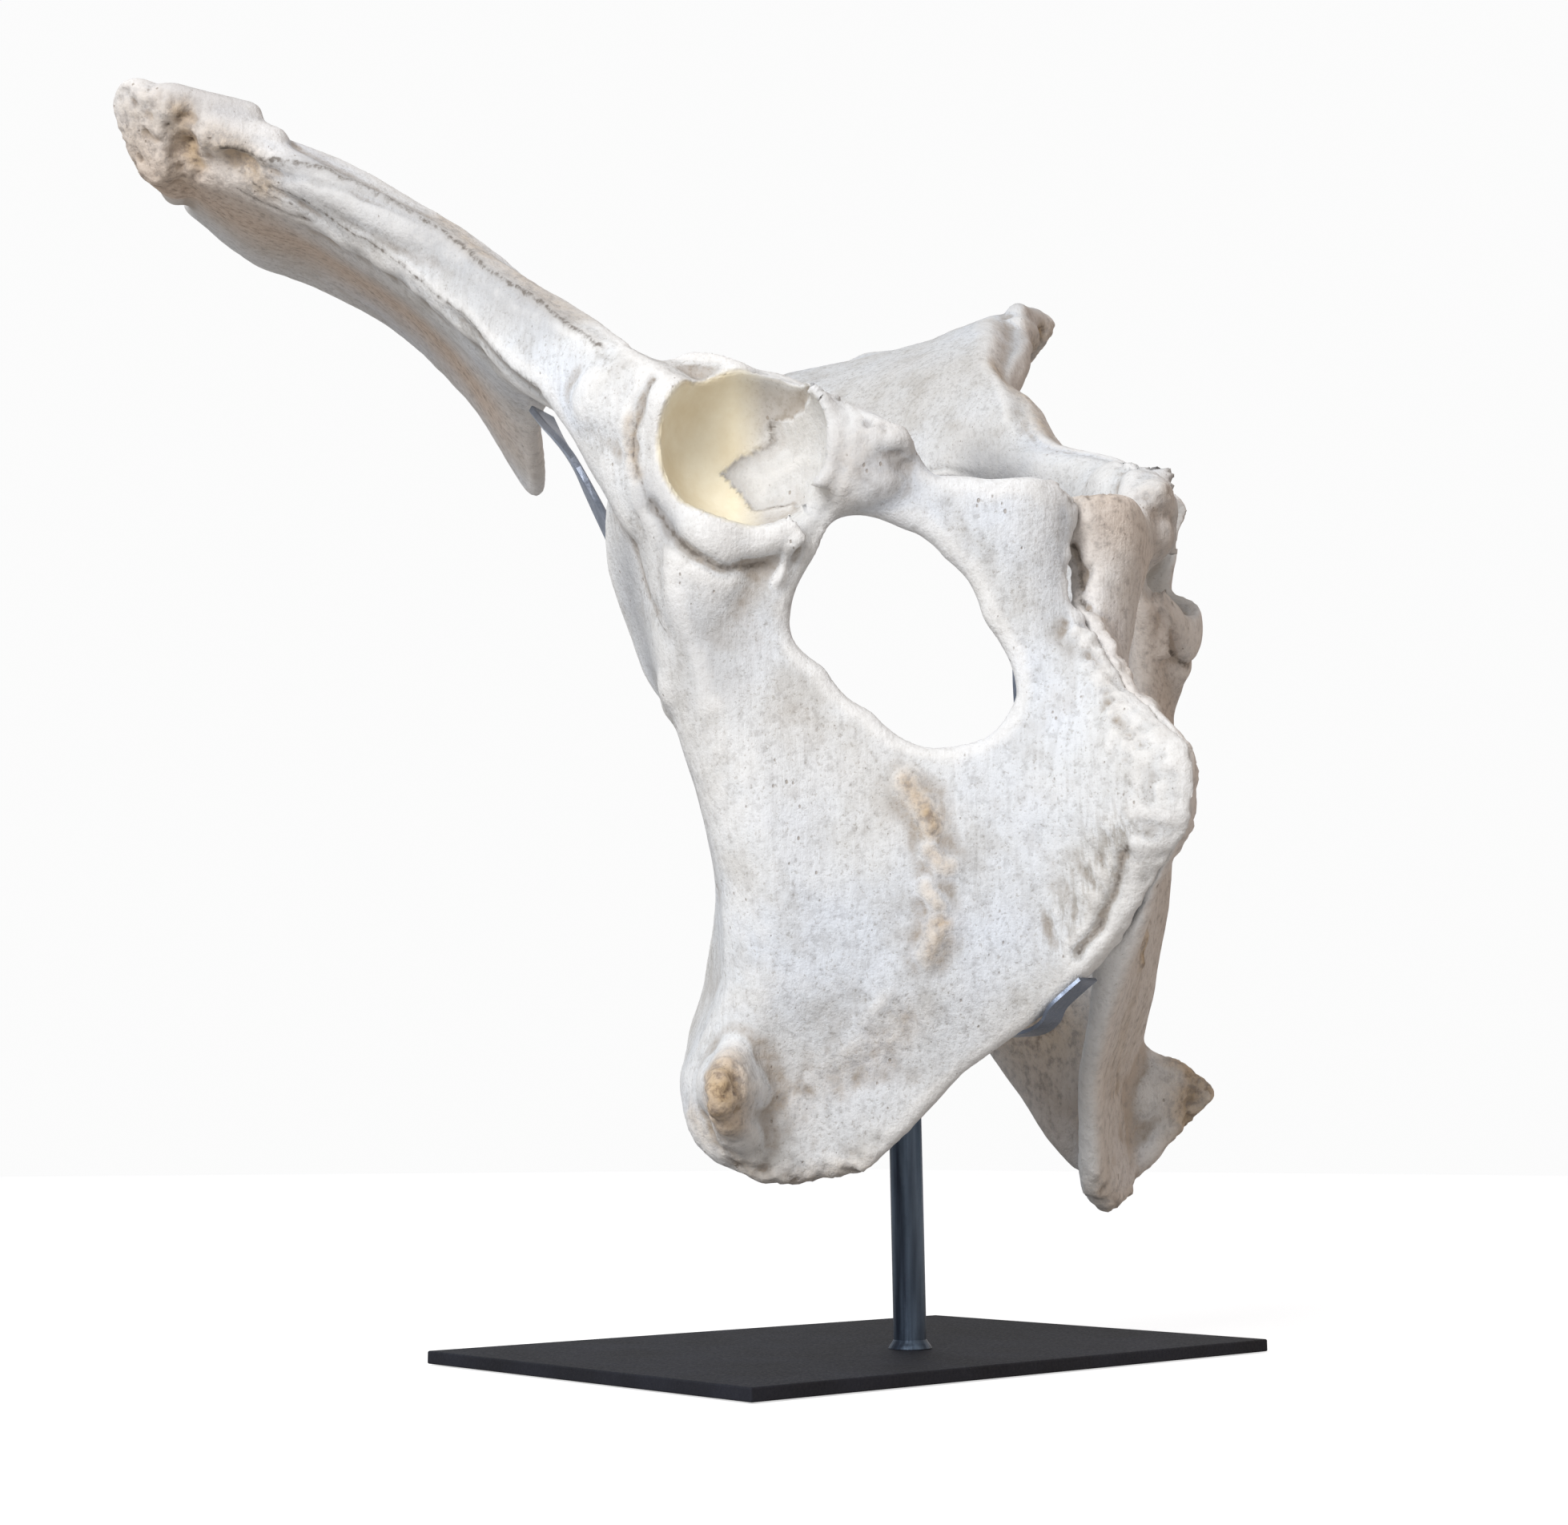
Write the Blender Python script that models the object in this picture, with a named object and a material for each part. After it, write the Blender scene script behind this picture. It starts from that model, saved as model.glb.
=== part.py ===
"""Pelvis of a bull moose on a steel museum stand.

The two hip bones stand upright, pelvic inlet up, on a bent flat bar and a small
clip that are fixed to a round upright on a rectangular base plate.
"""
import math

import bmesh
import bpy
import numpy as np
from mathutils import Matrix, Vector

MM = 0.001
GAP = 0.3                      # clearance between touching pieces, mm

# Stand, mm
PLATE_LENGTH = 279.0
PLATE_WIDTH = 184.0
PLATE_THICK = 4.8
PLATE_EDGE = 0.6
ROD_DIAMETER = 12.7
ROD_X = 2.2
ROD_Y = -25.3
ROD_TOP = 206.0
WELD_RADIUS = 8.4
WELD_HEIGHT = 2.2
BAR_WIDTH = 11.0
BAR_THICK = 3.0

# The pelvis and its rod lean a little together. Their frame stands on the rod's foot:
# +X to the animal's left, +Y to its back, +Z up along the rod
PELVIS_TURN = math.radians(-7.2)
PELVIS_LEAN = math.radians(1.0)

# Half of the cradle bar: its route from the rod's top round the back edge of the ilium,
# then the direction of its width at each point
CRADLE = [(0, 0, 208), (38, 3, 209), (68, 9, 220), (88, 22, 252), (100, 34, 296), (118, 42, 337),
          (119, 54, 353), (116, 73, 368), (107, 98, 384)]
CRADLE_ACROSS = [(0, 1, 0), (0, 1, 0), (0, 1, 0), (0, 1, 0), (-0.3, 1, -0.1), (-0.6, 0.7, -0.4),
                 (-0.8, 0.5, -0.5), (-0.9, 0.1, -0.5), (-0.9, -0.2, -0.4)]
# Clip from the rod to the arch between the two ischia
CLIP = [(0, -6.7, 122), (0, -40, 122.5), (0, -72, 125), (0, -88, 131), (0, -104, 138.5)]
CLIP_ACROSS = [(1, 0, 0)] * 5
CLIP_WIDTH = 9.0
STRIP_STEP = 8.0

# Hip bone, mm, as (out from the mid plane, back, up)
SYMPHYSIS_GAP = 0.5
OTHER_SIDE_LOW = (-60, -220, 0)
OTHER_SIDE_HIGH = (0, 100, 400)
VOXEL = 2.6
SHARP_ANGLE = math.radians(50.0)
TRIANGLES_PER_BONE = 3300

# Pelvic floor, ischium and pubis: a plate bent along the side of the canal.
# Columns: height, floor line at the mid plane, distance of the bend, keel bulge
FLOOR_ROWS = np.array([
    (50, -84, 122, 0), (80, -91, 124, 0), (108, -97, 128, 0), (140, -114, 126, 0), (175, -122, 129, -10),
    (195, -123, 133, -29), (212, -123, 136, -29), (235, -122, 143, -3), (262, -122, 150, 14),
    (300, -128, 154, 26), (340, -127, 160, 20), (380, -127, 162, 10)], float)
FLOOR_ANGLE = math.radians(40.0)
WALL_ANGLE_LOW = math.radians(113.0)
WALL_ANGLE_HIGH = math.radians(98.0)
BEND_RADIUS = 16.0
PLATE_HALF = 4.6
PLATE_OUTWARD = Vector((math.sin(FLOOR_ANGLE), -math.cos(FLOOR_ANGLE), 0))
SCAR_PROUD = 2.0
KEEL_WIDTH = 19.0

# Outline of that plate, flattened: (distance along the plate from the mid plane, height)
OUTLINE = np.array([
    (-6, 316), (-4, 303), (6, 294), (6, 280), (-7, 264), (-9, 235), (-9, 210), (-9, 184), (-9, 168),
    (1, 146), (20, 124), (38, 108), (54, 89), (70, 73), (92, 68), (110, 70), (127, 79), (144, 92),
    (167, 108), (193, 127), (190, 144), (172, 165), (161, 186), (163, 206), (170, 224), (181, 242),
    (204, 266), (212, 285), (215, 305), (208, 330), (170, 350), (124, 354), (100, 352), (82, 345),
    (74, 337), (64, 321), (42, 319), (20, 320)], float)
FORAMEN = np.array([
    (101, 306), (92, 308), (76, 302), (60, 290), (45, 268), (34, 250), (33, 240), (42, 227),
    (66, 223), (84, 237), (100, 253), (113, 265), (113, 278), (106, 293)], float)
FORAMEN_CENTRE = (76.0, 262.0)

# Ilium: rows from the neck to the tuber coxae, each across from the thick side bar
# to the thin inner blade, with the half thickness last
ILIUM = np.array([
    [(122, -32, 338, 22), (115, -24, 342, 22), (108, -16, 346, 20), (101, -8, 350, 16)],
    [(133, 2, 363, 20), (128, 11, 367, 20), (122, 19, 370, 18), (117, 27, 373, 13)],
    [(138, 28, 382, 21), (129, 43, 387, 18), (120, 60, 394, 11), (111, 76, 400, 5)],
    [(142, 43, 396, 20), (127, 72, 399, 15), (110, 100, 397, 8), (90, 128, 390, 4)],
    [(146, 58, 411, 21), (125, 96, 412, 14), (98, 138, 402, 7), (58, 187, 377, 3)],
    [(158, 87, 438, 21), (136, 128, 441, 14), (110, 167, 434, 6), (78, 207, 421, 3)],
    [(172, 112, 459, 21), (151, 152, 462, 13), (126, 198, 464, 6), (100, 245, 466, 3)],
    [(188, 134, 479, 20), (172, 175, 482, 12), (152, 220, 486, 6), (134, 265, 489, 4)],
    [(205, 150, 492, 18), (193, 190, 492, 12), (178, 232, 494, 7), (163, 272, 497, 4)],
    [(226, 165, 502, 18), (213, 198, 502, 14), (204, 234, 505, 9), (195, 270, 515, 5)],
    [(242, 182, 505, 18), (224, 202, 504, 15), (209, 233, 507, 9), (197, 269, 516, 5)]], float)

# Acetabulum
SOCKET = Vector((108, -47, 332))
SOCKET_AXIS = Vector((0.70, -0.70, 0.20)).normalized()
SOCKET_LIP = 37.0
SOCKET_LIP_RADIUS = 6.0
# Where the lip stands further out and where it draws in, and by how much
LIP_PEAK = Vector((0.42, 0.30, 0.86))
LIP_PEAK_RISE = 5.0
LIP_DIP = Vector((-0.30, -0.22, 0.93))
LIP_DIP_DEPTH = 6.0
SOCKET_RADIUS = 32.0
SOCKET_CENTRE = SOCKET + SOCKET_AXIS * 3 + Vector((-4.5, -2.5, 1))
SOCKET_BODY = 40.0
SOCKET_BODY_DEPTH = 22.0
# The notch that opens the lip towards the foramen: a straight cut between two places
NOTCH_FROM = Vector((97, -62, 318))
NOTCH_TO = Vector((78, -70, 292))
NOTCH_RADIUS = 7.5

# Raised scars of the muscle line on the ischium, each from one place on the plate to another
SCARS = [((66, 203), (60, 181)), ((59, 170), (56, 150))]
SCAR_RADIUS = 8.0

# The left bone isn't quite the mirror image of the right one. Places on it, how far round
# them it differs, and by how much
LEFT_SHIFTS = [
    ((142, 36, 408), 44, (-10, 7, -12)),
    ((168, 92, 452), 30, (-7, 5, -8)),
    ((106, -46, 368), 30, (0, 0, -10)),
    ((114, -50, 288), 22, (0, 0, -11)),
    ((84, 0, 95), 30, (0, 0, -17)),
    ((70, -40, 64), 30, (0, 0, -13)),
    ((88, -34, 72), 20, (6, -4, -4)),
]

# Rounded masses that join the plates: start, start radius, end, end radius
MASSES = [
    ((104, -30, 332), 25, (126, 2, 358), 20),
    ((118, -12, 318), 17, (127, 6, 348), 15),
    ((110, -36, 300), 20, (109, -18, 250), 13),
    ((112, -16, 285), 13, (106, -8, 245), 9),
    ((92, -56, 328), 13, (74, -74, 334), 11),
    ((74, -76, 334), 11, (64, -82, 334), 9),
    ((92, -58, 316), 10, (68, -80, 318), 9),
    ((98, -26, 104), 14, (115, -45, 102), 9),
    ((95, -24, 132), 11, (112, -42, 106), 9),
    ((92, -22, 84), 10, (112, -42, 102), 9),
    ((251, 184, 516), 12, (240, 189, 500), 13),
    ((240, 190, 500), 12, (226, 206, 500), 11),
    ((212, 155, 508), 9, (240, 174, 513), 13),
    ((205, 150, 490), 9, (156, 84, 438), 10.5),
    ((156, 84, 438), 10.5, (138, 28, 393), 11),
    ((138, 28, 393), 11, (122, -32, 347), 11),
]


def catmull_rom(rows, count):
    """Smooth curve through the rows: each stretch is the cubic whose slopes come from its neighbours."""
    rows = np.asarray(rows, float)
    last = len(rows) - 1
    t = np.linspace(0, last, count)
    i = np.clip(t.astype(int), 0, last - 1)
    f = (t - i).reshape((-1,) + (1,) * (rows.ndim - 1))
    a, b, c, d = (rows[np.clip(i + k, 0, last)] for k in (-1, 0, 1, 2))
    return 0.5 * (2 * b + (c - a) * f + (2 * a - 5 * b + 4 * c - d) * f ** 2
                  + (3 * b - a - 3 * c + d) * f ** 3)


def rim(distance, half):
    """Thickness share near an edge: a quarter circle as deep as the half thickness."""
    reach = np.clip(distance / np.maximum(half, 0.1), 0, 1)
    return np.sqrt(1 - (1 - reach) ** 2)


def new_object(name, verts, faces):
    """Mesh object from vertices in mm and faces."""
    mesh = bpy.data.meshes.new(name)
    mesh.from_pydata([tuple(v) for v in np.asarray(verts) * MM], [], faces)
    obj = bpy.data.objects.new(name, mesh)
    bpy.context.scene.collection.objects.link(obj)
    bm = bmesh.new()
    bm.from_mesh(mesh)
    bmesh.ops.remove_doubles(bm, verts=bm.verts, dist=0.00001)
    bmesh.ops.recalc_face_normals(bm, faces=bm.faces)
    bm.to_mesh(mesh)
    bm.free()
    return obj


def grid_faces(rows, columns, start=0, wrap=False):
    """Quads of a grid, closed along its rows where wrap is set."""
    faces = []
    for r in range(rows if wrap else rows - 1):
        s = (r + 1) % rows
        for c in range(columns - 1):
            faces.append((start + r * columns + c, start + r * columns + c + 1,
                          start + s * columns + c + 1, start + s * columns + c))
    return faces


def two_sided(middle, half, wrap=False):
    """Closed skin at half the thickness on both sides of a middle surface."""
    if wrap:
        along = np.roll(middle, -1, 0) - np.roll(middle, 1, 0)
    else:
        along = np.gradient(middle, axis=0)
    across = np.gradient(middle, axis=1)
    normal = np.cross(along, across)
    normal /= np.linalg.norm(normal, axis=2, keepdims=True) + 1e-9
    rows, columns = half.shape
    front = (middle + normal * half[..., None]).reshape(-1, 3)
    back = (middle - normal * half[..., None]).reshape(-1, 3)
    faces = grid_faces(rows, columns, 0, wrap)
    faces += [f[::-1] for f in grid_faces(rows, columns, rows * columns, wrap)]
    return np.vstack([front, back]), faces


def ilium():
    """Blade and side bar of the ilium."""
    net = catmull_rom(ILIUM, 60)
    net = np.swapaxes(catmull_rom(np.swapaxes(net, 0, 1), 40), 0, 1)
    middle, half = net[..., :3], net[..., 3]
    step = np.linalg.norm(np.diff(middle, axis=1), axis=2)
    across = np.concatenate([np.zeros((60, 1)), np.cumsum(step, 1)], 1)
    step = np.linalg.norm(np.diff(middle, axis=0), axis=2)
    along = np.concatenate([np.zeros((1, 40)), np.cumsum(step, 0)], 0)
    edge = np.minimum(across, across[:, -1:] - across)
    end = np.minimum(along, along[-1:] - along)
    half = half * rim(edge, half) * rim(end, half)
    return new_object("ilium", *two_sided(middle, half))


def floor_values(height):
    """Floor line, bend distance and keel bulge at each height."""
    return [np.interp(height, FLOOR_ROWS[:, 0], FLOOR_ROWS[:, k]) for k in (1, 2, 3)]


def bent_plate(distance, height):
    """Middle surface of the pelvic floor: straight, round the bend, then straight up the wall."""
    line, bend, keel = floor_values(height)
    high = np.clip((height - 240) / 60, 0, 1)
    wall = WALL_ANGLE_LOW + (WALL_ANGLE_HIGH - WALL_ANGLE_LOW) * high
    turn = wall - FLOOR_ANGLE
    start = bend - BEND_RADIUS * np.tan(turn / 2)
    q = np.clip((distance - start) / BEND_RADIUS, 0, turn)
    flat = np.minimum(distance, start)
    rest = np.maximum(distance - start - BEND_RADIUS * turn, 0)
    out = (flat * math.cos(FLOOR_ANGLE) + BEND_RADIUS * (np.sin(FLOOR_ANGLE + q) - math.sin(FLOOR_ANGLE))
           + rest * np.cos(wall))
    back = (line + flat * math.sin(FLOOR_ANGLE)
            - BEND_RADIUS * (np.cos(FLOOR_ANGLE + q) - math.cos(FLOOR_ANGLE)) + rest * np.sin(wall)
            + keel * np.exp(-(distance / KEEL_WIDTH) ** 2))
    return np.stack([out, back, height], -1)


def plate_half(distance, height):
    """Half thickness of the plate: thick at the symphysis, along the bend and at the tuber."""
    bend = floor_values(height)[1]
    half = PLATE_HALF + 5.0 * np.exp(-(distance / 16) ** 2)
    half += 6.5 * np.exp(-((distance - bend) / 24) ** 2) * np.clip((height - 120) / 90, 0.35, 1)
    half += 4.0 * np.exp(-(((distance - 150) / 45) ** 2 + ((height - 90) / 30) ** 2))
    half += 3.0 * np.exp(-((height - 318) / 22) ** 2)
    return half


def closed_polar(points, centre, count):
    """Radius of a closed outline at even angles about a centre."""
    rel = points - np.array(centre)
    angle = np.arctan2(rel[:, 1], rel[:, 0])
    order = np.argsort(angle)
    radius = np.linalg.norm(rel, axis=1)[order]
    angle = angle[order]
    even = np.linspace(-math.pi, math.pi, count, endpoint=False)
    angle3 = np.concatenate([angle - 2 * math.pi, angle, angle + 2 * math.pi])
    return even, np.interp(even, angle3, np.tile(radius, 3))


def floor_plate():
    """Pubis, ischium and the foramen between them."""
    turns, steps = 180, 44
    angle, inner = closed_polar(FORAMEN, FORAMEN_CENTRE, turns)
    outer = closed_polar(OUTLINE, FORAMEN_CENTRE, turns)[1]
    share = (1 - np.cos(np.linspace(0, math.pi, steps))) / 2
    radius = inner[:, None] + (outer - inner)[:, None] * share
    distance = FORAMEN_CENTRE[0] + radius * np.cos(angle)[:, None]
    height = FORAMEN_CENTRE[1] + radius * np.sin(angle)[:, None]
    middle = bent_plate(distance, height)
    half = plate_half(distance, height)
    edge = np.minimum(radius - inner[:, None], outer[:, None] - radius)
    half = half * rim(edge, half)
    return new_object("floor", *two_sided(middle, half, wrap=True))


def mass(start, start_radius, end, end_radius):
    """Round-ended taper between two spheres."""
    a, b = Vector(start), Vector(end)
    axis = (b - a).normalized()
    side = axis.orthogonal().normalized()
    other = axis.cross(side)
    rings, sides = 12, 20
    verts = []
    for k in range(2 * rings):
        lower = k < rings
        turn = -math.pi / 2 + math.pi / 2 * (k / (rings - 1) if lower else 1 + (k - rings) / (rings - 1))
        centre, radius = (a, start_radius) if lower else (b, end_radius)
        for s in range(sides):
            phi = 2 * math.pi * s / sides
            ring = side * math.cos(phi) + other * math.sin(phi)
            verts.append(centre + axis * radius * math.sin(turn) + ring * radius * math.cos(turn))
    faces = [f for f in grid_faces(2 * rings, sides)]
    faces += [(r * sides + sides - 1, r * sides, (r + 1) * sides, (r + 1) * sides + sides - 1)
              for r in range(2 * rings - 1)]
    return new_object("mass", verts, faces)


def placed(obj, centre, axis):
    """Turn an object's +Z to an axis, put it at a place in mm and apply both to its mesh."""
    turn = axis.to_track_quat("Z", "Y").to_matrix().to_4x4()
    obj.data.transform(Matrix.Translation(centre * MM) @ turn)
    return obj


def sphere(radius, centre, axis=Vector((0, 0, 1)), depth=None):
    """Ball, or a flattened one whose half height along the axis is the depth."""
    bm = bmesh.new()
    bmesh.ops.create_uvsphere(bm, u_segments=32, v_segments=16, radius=radius * MM)
    bmesh.ops.scale(bm, vec=(1, 1, (depth or radius) / radius), verts=bm.verts)
    mesh = bpy.data.meshes.new("sphere")
    bm.to_mesh(mesh)
    bm.free()
    obj = bpy.data.objects.new("sphere", mesh)
    bpy.context.scene.collection.objects.link(obj)
    return placed(obj, centre, axis)


def block(low, high):
    """Box between two corners in mm."""
    bm = bmesh.new()
    bmesh.ops.create_cube(bm, size=1)
    size = Vector(high) - Vector(low)
    bmesh.ops.scale(bm, vec=size * MM, verts=bm.verts)
    bmesh.ops.translate(bm, vec=(Vector(low) + size / 2) * MM, verts=bm.verts)
    mesh = bpy.data.meshes.new("block")
    bm.to_mesh(mesh)
    bm.free()
    obj = bpy.data.objects.new("block", mesh)
    bpy.context.scene.collection.objects.link(obj)
    return obj


def socket_lip():
    """Raised ring round the acetabulum."""
    ring, tube = 64, 16
    a = np.linspace(0, 2 * math.pi, ring, endpoint=False)[:, None]
    b = np.linspace(0, 2 * math.pi, tube, endpoint=False)[None, :]
    radius = SOCKET_LIP + SOCKET_LIP_RADIUS * np.cos(b)
    to_ring = SOCKET_AXIS.to_track_quat("Z", "Y").inverted()
    for place, change in ((LIP_PEAK, LIP_PEAK_RISE), (LIP_DIP, -LIP_DIP_DEPTH)):
        local = to_ring @ place
        radius = radius + change * np.clip(np.cos(a - math.atan2(local.y, local.x)), 0, 1) ** 8
    verts = np.stack([radius * np.cos(a), radius * np.sin(a),
                      SOCKET_LIP_RADIUS * np.sin(b) - SOCKET_LIP_RADIUS + 0 * a], -1).reshape(-1, 3)
    faces = []
    for r in range(ring):
        s = (r + 1) % ring
        for c in range(tube):
            d = (c + 1) % tube
            faces.append((r * tube + c, s * tube + c, s * tube + d, r * tube + d))
    return placed(new_object("lip", verts, faces), SOCKET, SOCKET_AXIS)


def apply_modifiers(obj):
    graph = bpy.context.evaluated_depsgraph_get()
    graph.update()
    mesh = bpy.data.meshes.new_from_object(obj.evaluated_get(graph))
    obj.modifiers.clear()
    obj.data = mesh


def join(objects, name):
    """One mesh object from several."""
    bm = bmesh.new()
    for obj in objects:
        bm.from_mesh(obj.data)
        bpy.data.objects.remove(obj)
    mesh = bpy.data.meshes.new(name)
    bm.to_mesh(mesh)
    bm.free()
    obj = bpy.data.objects.new(name, mesh)
    bpy.context.scene.collection.objects.link(obj)
    return obj


def hip_bone(name):
    """Right or left hip bone, grown as one piece: plates and masses fused, socket hollowed."""
    pieces = [ilium(), floor_plate(), socket_lip(),
              sphere(SOCKET_BODY, SOCKET - SOCKET_AXIS * 14, SOCKET_AXIS, SOCKET_BODY_DEPTH)]
    pieces += [mass(*m) for m in MASSES]
    for ends in SCARS:
        lift = PLATE_OUTWARD * (SCAR_PROUD + PLATE_HALF - SCAR_RADIUS)
        top, foot = (Vector(bent_plate(*np.array(end, float))) + lift for end in ends)
        pieces.append(mass(top, SCAR_RADIUS, foot, SCAR_RADIUS))
    bone = join(pieces, name)
    fuse = bone.modifiers.new("fuse", "REMESH")
    fuse.mode = "VOXEL"
    fuse.voxel_size = VOXEL * MM
    smooth = bone.modifiers.new("smooth", "SMOOTH")
    smooth.factor = 0.5
    smooth.iterations = 6
    apply_modifiers(bone)
    thin = bone.modifiers.new("thin", "DECIMATE")
    thin.ratio = TRIANGLES_PER_BONE / sum(len(p.vertices) - 2 for p in bone.data.polygons)
    apply_modifiers(bone)
    cutters = [sphere(SOCKET_RADIUS, SOCKET_CENTRE),
               mass(NOTCH_FROM, NOTCH_RADIUS, NOTCH_TO, NOTCH_RADIUS),
               block(OTHER_SIDE_LOW, OTHER_SIDE_HIGH)]
    for cutter in cutters:
        cutter.hide_render = True
        cutter.display_type = "WIRE"
        cut = bone.modifiers.new("cut", "BOOLEAN")
        cut.operation = "DIFFERENCE"
        cut.object = cutter
    apply_modifiers(bone)
    for cutter in cutters:
        bpy.data.objects.remove(cutter)
    return bone


def left_form(points):
    """Points in mm moved by the left bone's own shifts, each fading with a bell round its place."""
    points = np.array(points, float)
    moved = points.copy()
    for place, reach, shift in LEFT_SHIFTS:
        share = np.exp(-(((points - place) / reach) ** 2).sum(-1, keepdims=True))
        moved += share * shift
    return moved


def material(name, colour, roughness, metallic=0.0):
    mat = bpy.data.materials.new(name)
    mat.use_nodes = True
    shader = mat.node_tree.nodes["Principled BSDF"]
    shader.inputs["Base Color"].default_value = (*colour, 1)
    shader.inputs["Roughness"].default_value = roughness
    shader.inputs["Metallic"].default_value = metallic
    return mat


def slab(name):
    """Rectangular plate with its edges broken, underside at the ground."""
    obj = block((-PLATE_LENGTH / 2, -PLATE_WIDTH / 2, 0), (PLATE_LENGTH / 2, PLATE_WIDTH / 2, PLATE_THICK))
    obj.name = name
    broken = obj.modifiers.new("broken_edges", "BEVEL")
    broken.width = PLATE_EDGE * MM
    broken.segments = 2
    return obj


def upright(name):
    """Round upright with a fillet of weld at its foot and a domed top."""
    base = PLATE_THICK + GAP
    radius = ROD_DIAMETER / 2
    profile = [(WELD_RADIUS, 0), (WELD_RADIUS - 0.7, 1.2), (radius + 0.6, WELD_HEIGHT), (radius, WELD_HEIGHT + 1),
               (radius, ROD_TOP - base - 1.2), (radius - 1.2, ROD_TOP - base)]
    sides = 32
    bm = bmesh.new()
    rings = []
    for r, z in profile:
        rings.append([bm.verts.new((r * math.cos(2 * math.pi * k / sides) * MM,
                                    r * math.sin(2 * math.pi * k / sides) * MM, (base + z) * MM))
                      for k in range(sides)])
    for low, high in zip(rings, rings[1:]):
        for k in range(sides):
            bm.faces.new((low[k], low[(k + 1) % sides], high[(k + 1) % sides], high[k]))
    bm.faces.new(rings[0][::-1])
    bm.faces.new(rings[-1])
    mesh = bpy.data.meshes.new(name)
    bm.to_mesh(mesh)
    bm.free()
    obj = bpy.data.objects.new(name, mesh)
    bpy.context.scene.collection.objects.link(obj)
    return obj


def strip(name, route, across, width, thick):
    """Flat bar with rounded long edges, bent along a route of points in mm.

    The section is a rectangle with its corners broken; across is the direction of its width
    at each point of the route.
    """
    length = sum((Vector(b) - Vector(a)).length for a, b in zip(route, route[1:]))
    count = int(length / STRIP_STEP) + 2
    path = catmull_rom(route, count)
    wide = catmull_rom(across, count)
    along = np.gradient(path, axis=0)
    along /= np.linalg.norm(along, axis=1, keepdims=True)
    wide -= along * (wide * along).sum(1, keepdims=True)
    wide /= np.linalg.norm(wide, axis=1, keepdims=True)
    flat = np.cross(along, wide)
    w, t, c = width / 2, thick / 2, 0.5
    section = [(-w, -t + c), (-w + c, -t), (w - c, -t), (w, -t + c),
               (w, t - c), (w - c, t), (-w + c, t), (-w, t - c)]
    rings = np.stack([path + wide * a + flat * b for a, b in section], 1)
    sides = len(section)
    faces = []
    for r in range(count - 1):
        for k in range(sides):
            m = (k + 1) % sides
            faces.append((r * sides + k, r * sides + m, (r + 1) * sides + m, (r + 1) * sides + k))
    faces += [tuple(range(sides))[::-1], tuple(range((count - 1) * sides, count * sides))]
    return new_object(name, rings.reshape(-1, 3), faces)


for old in list(bpy.data.objects):
    bpy.data.objects.remove(old)

bone_white = material("dry_bone", (0.80, 0.76, 0.68), 0.75)
frame = bpy.data.objects.new("pelvis_frame", None)
frame.location = (ROD_X * MM, ROD_Y * MM, 0)
frame.rotation_euler = (0, -PELVIS_LEAN, PELVIS_TURN)
bpy.context.scene.collection.objects.link(frame)

left = hip_bone("left_hip_bone")
right = left.copy()
right.data = left.data.copy()
right.name = "right_hip_bone"
bpy.context.scene.collection.objects.link(right)
right.data.transform(Matrix.Scale(-1, 4, Vector((1, 0, 0))))
right.data.flip_normals()
for vert in left.data.vertices:
    vert.co = Vector(left_form(vert.co / MM)) * MM
for bone, side in ((left, 1), (right, -1)):
    bone.data.transform(Matrix.Translation((side * SYMPHYSIS_GAP * MM, 0, 0)))
    bone.parent = frame
    bone.data.materials.clear()
    bone.data.materials.append(bone_white)

plate = slab("base_plate")
plate.data.materials.append(material("black_steel", (0.02, 0.02, 0.022), 0.55, 0.6))
rod = upright("upright_rod")
rod.data.materials.append(material("blued_steel", (0.03, 0.04, 0.055), 0.35, 0.8))

steel = material("bright_steel", (0.45, 0.47, 0.52), 0.35, 0.9)
mirrored = [(-x, y, z) for x, y, z in CRADLE[:0:-1]]
mirrored_across = [(-x, y, z) for x, y, z in CRADLE_ACROSS[:0:-1]]
route = mirrored + left_form(CRADLE).tolist()
cradle = strip("ilium_cradle", route, mirrored_across + CRADLE_ACROSS, BAR_WIDTH, BAR_THICK)
clip = strip("ischium_clip", CLIP, CLIP_ACROSS, CLIP_WIDTH, BAR_THICK)
for bar in (cradle, clip):
    bar.data.materials.append(steel)
for obj in (rod, cradle, clip):
    obj.parent = frame
for obj in (left, right, rod, cradle, clip):
    obj.data.shade_smooth()
    obj.data.set_sharp_from_angle(angle=SHARP_ANGLE)
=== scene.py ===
import math

import bmesh
import bpy
import numpy as np
from mathutils import Matrix, Vector


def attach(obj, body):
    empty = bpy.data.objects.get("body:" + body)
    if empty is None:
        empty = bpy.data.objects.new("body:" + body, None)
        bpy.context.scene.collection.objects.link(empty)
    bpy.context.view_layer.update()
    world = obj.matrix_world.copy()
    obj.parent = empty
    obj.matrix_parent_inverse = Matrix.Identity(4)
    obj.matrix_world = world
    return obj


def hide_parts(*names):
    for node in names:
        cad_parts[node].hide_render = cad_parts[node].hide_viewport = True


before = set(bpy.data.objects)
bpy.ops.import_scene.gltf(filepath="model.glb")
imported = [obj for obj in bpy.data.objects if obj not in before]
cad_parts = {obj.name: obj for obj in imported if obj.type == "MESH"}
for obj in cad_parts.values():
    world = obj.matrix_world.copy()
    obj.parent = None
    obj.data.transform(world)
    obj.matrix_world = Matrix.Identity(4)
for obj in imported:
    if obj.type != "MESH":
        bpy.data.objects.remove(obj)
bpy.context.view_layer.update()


# Base plate: a thin rectangular plate of mild steel, painted satin black. It lies flat on the
# table and carries the upright, which is welded on. The CAD's own plate stays and is finished.

NODE_STEP = 220


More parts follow.
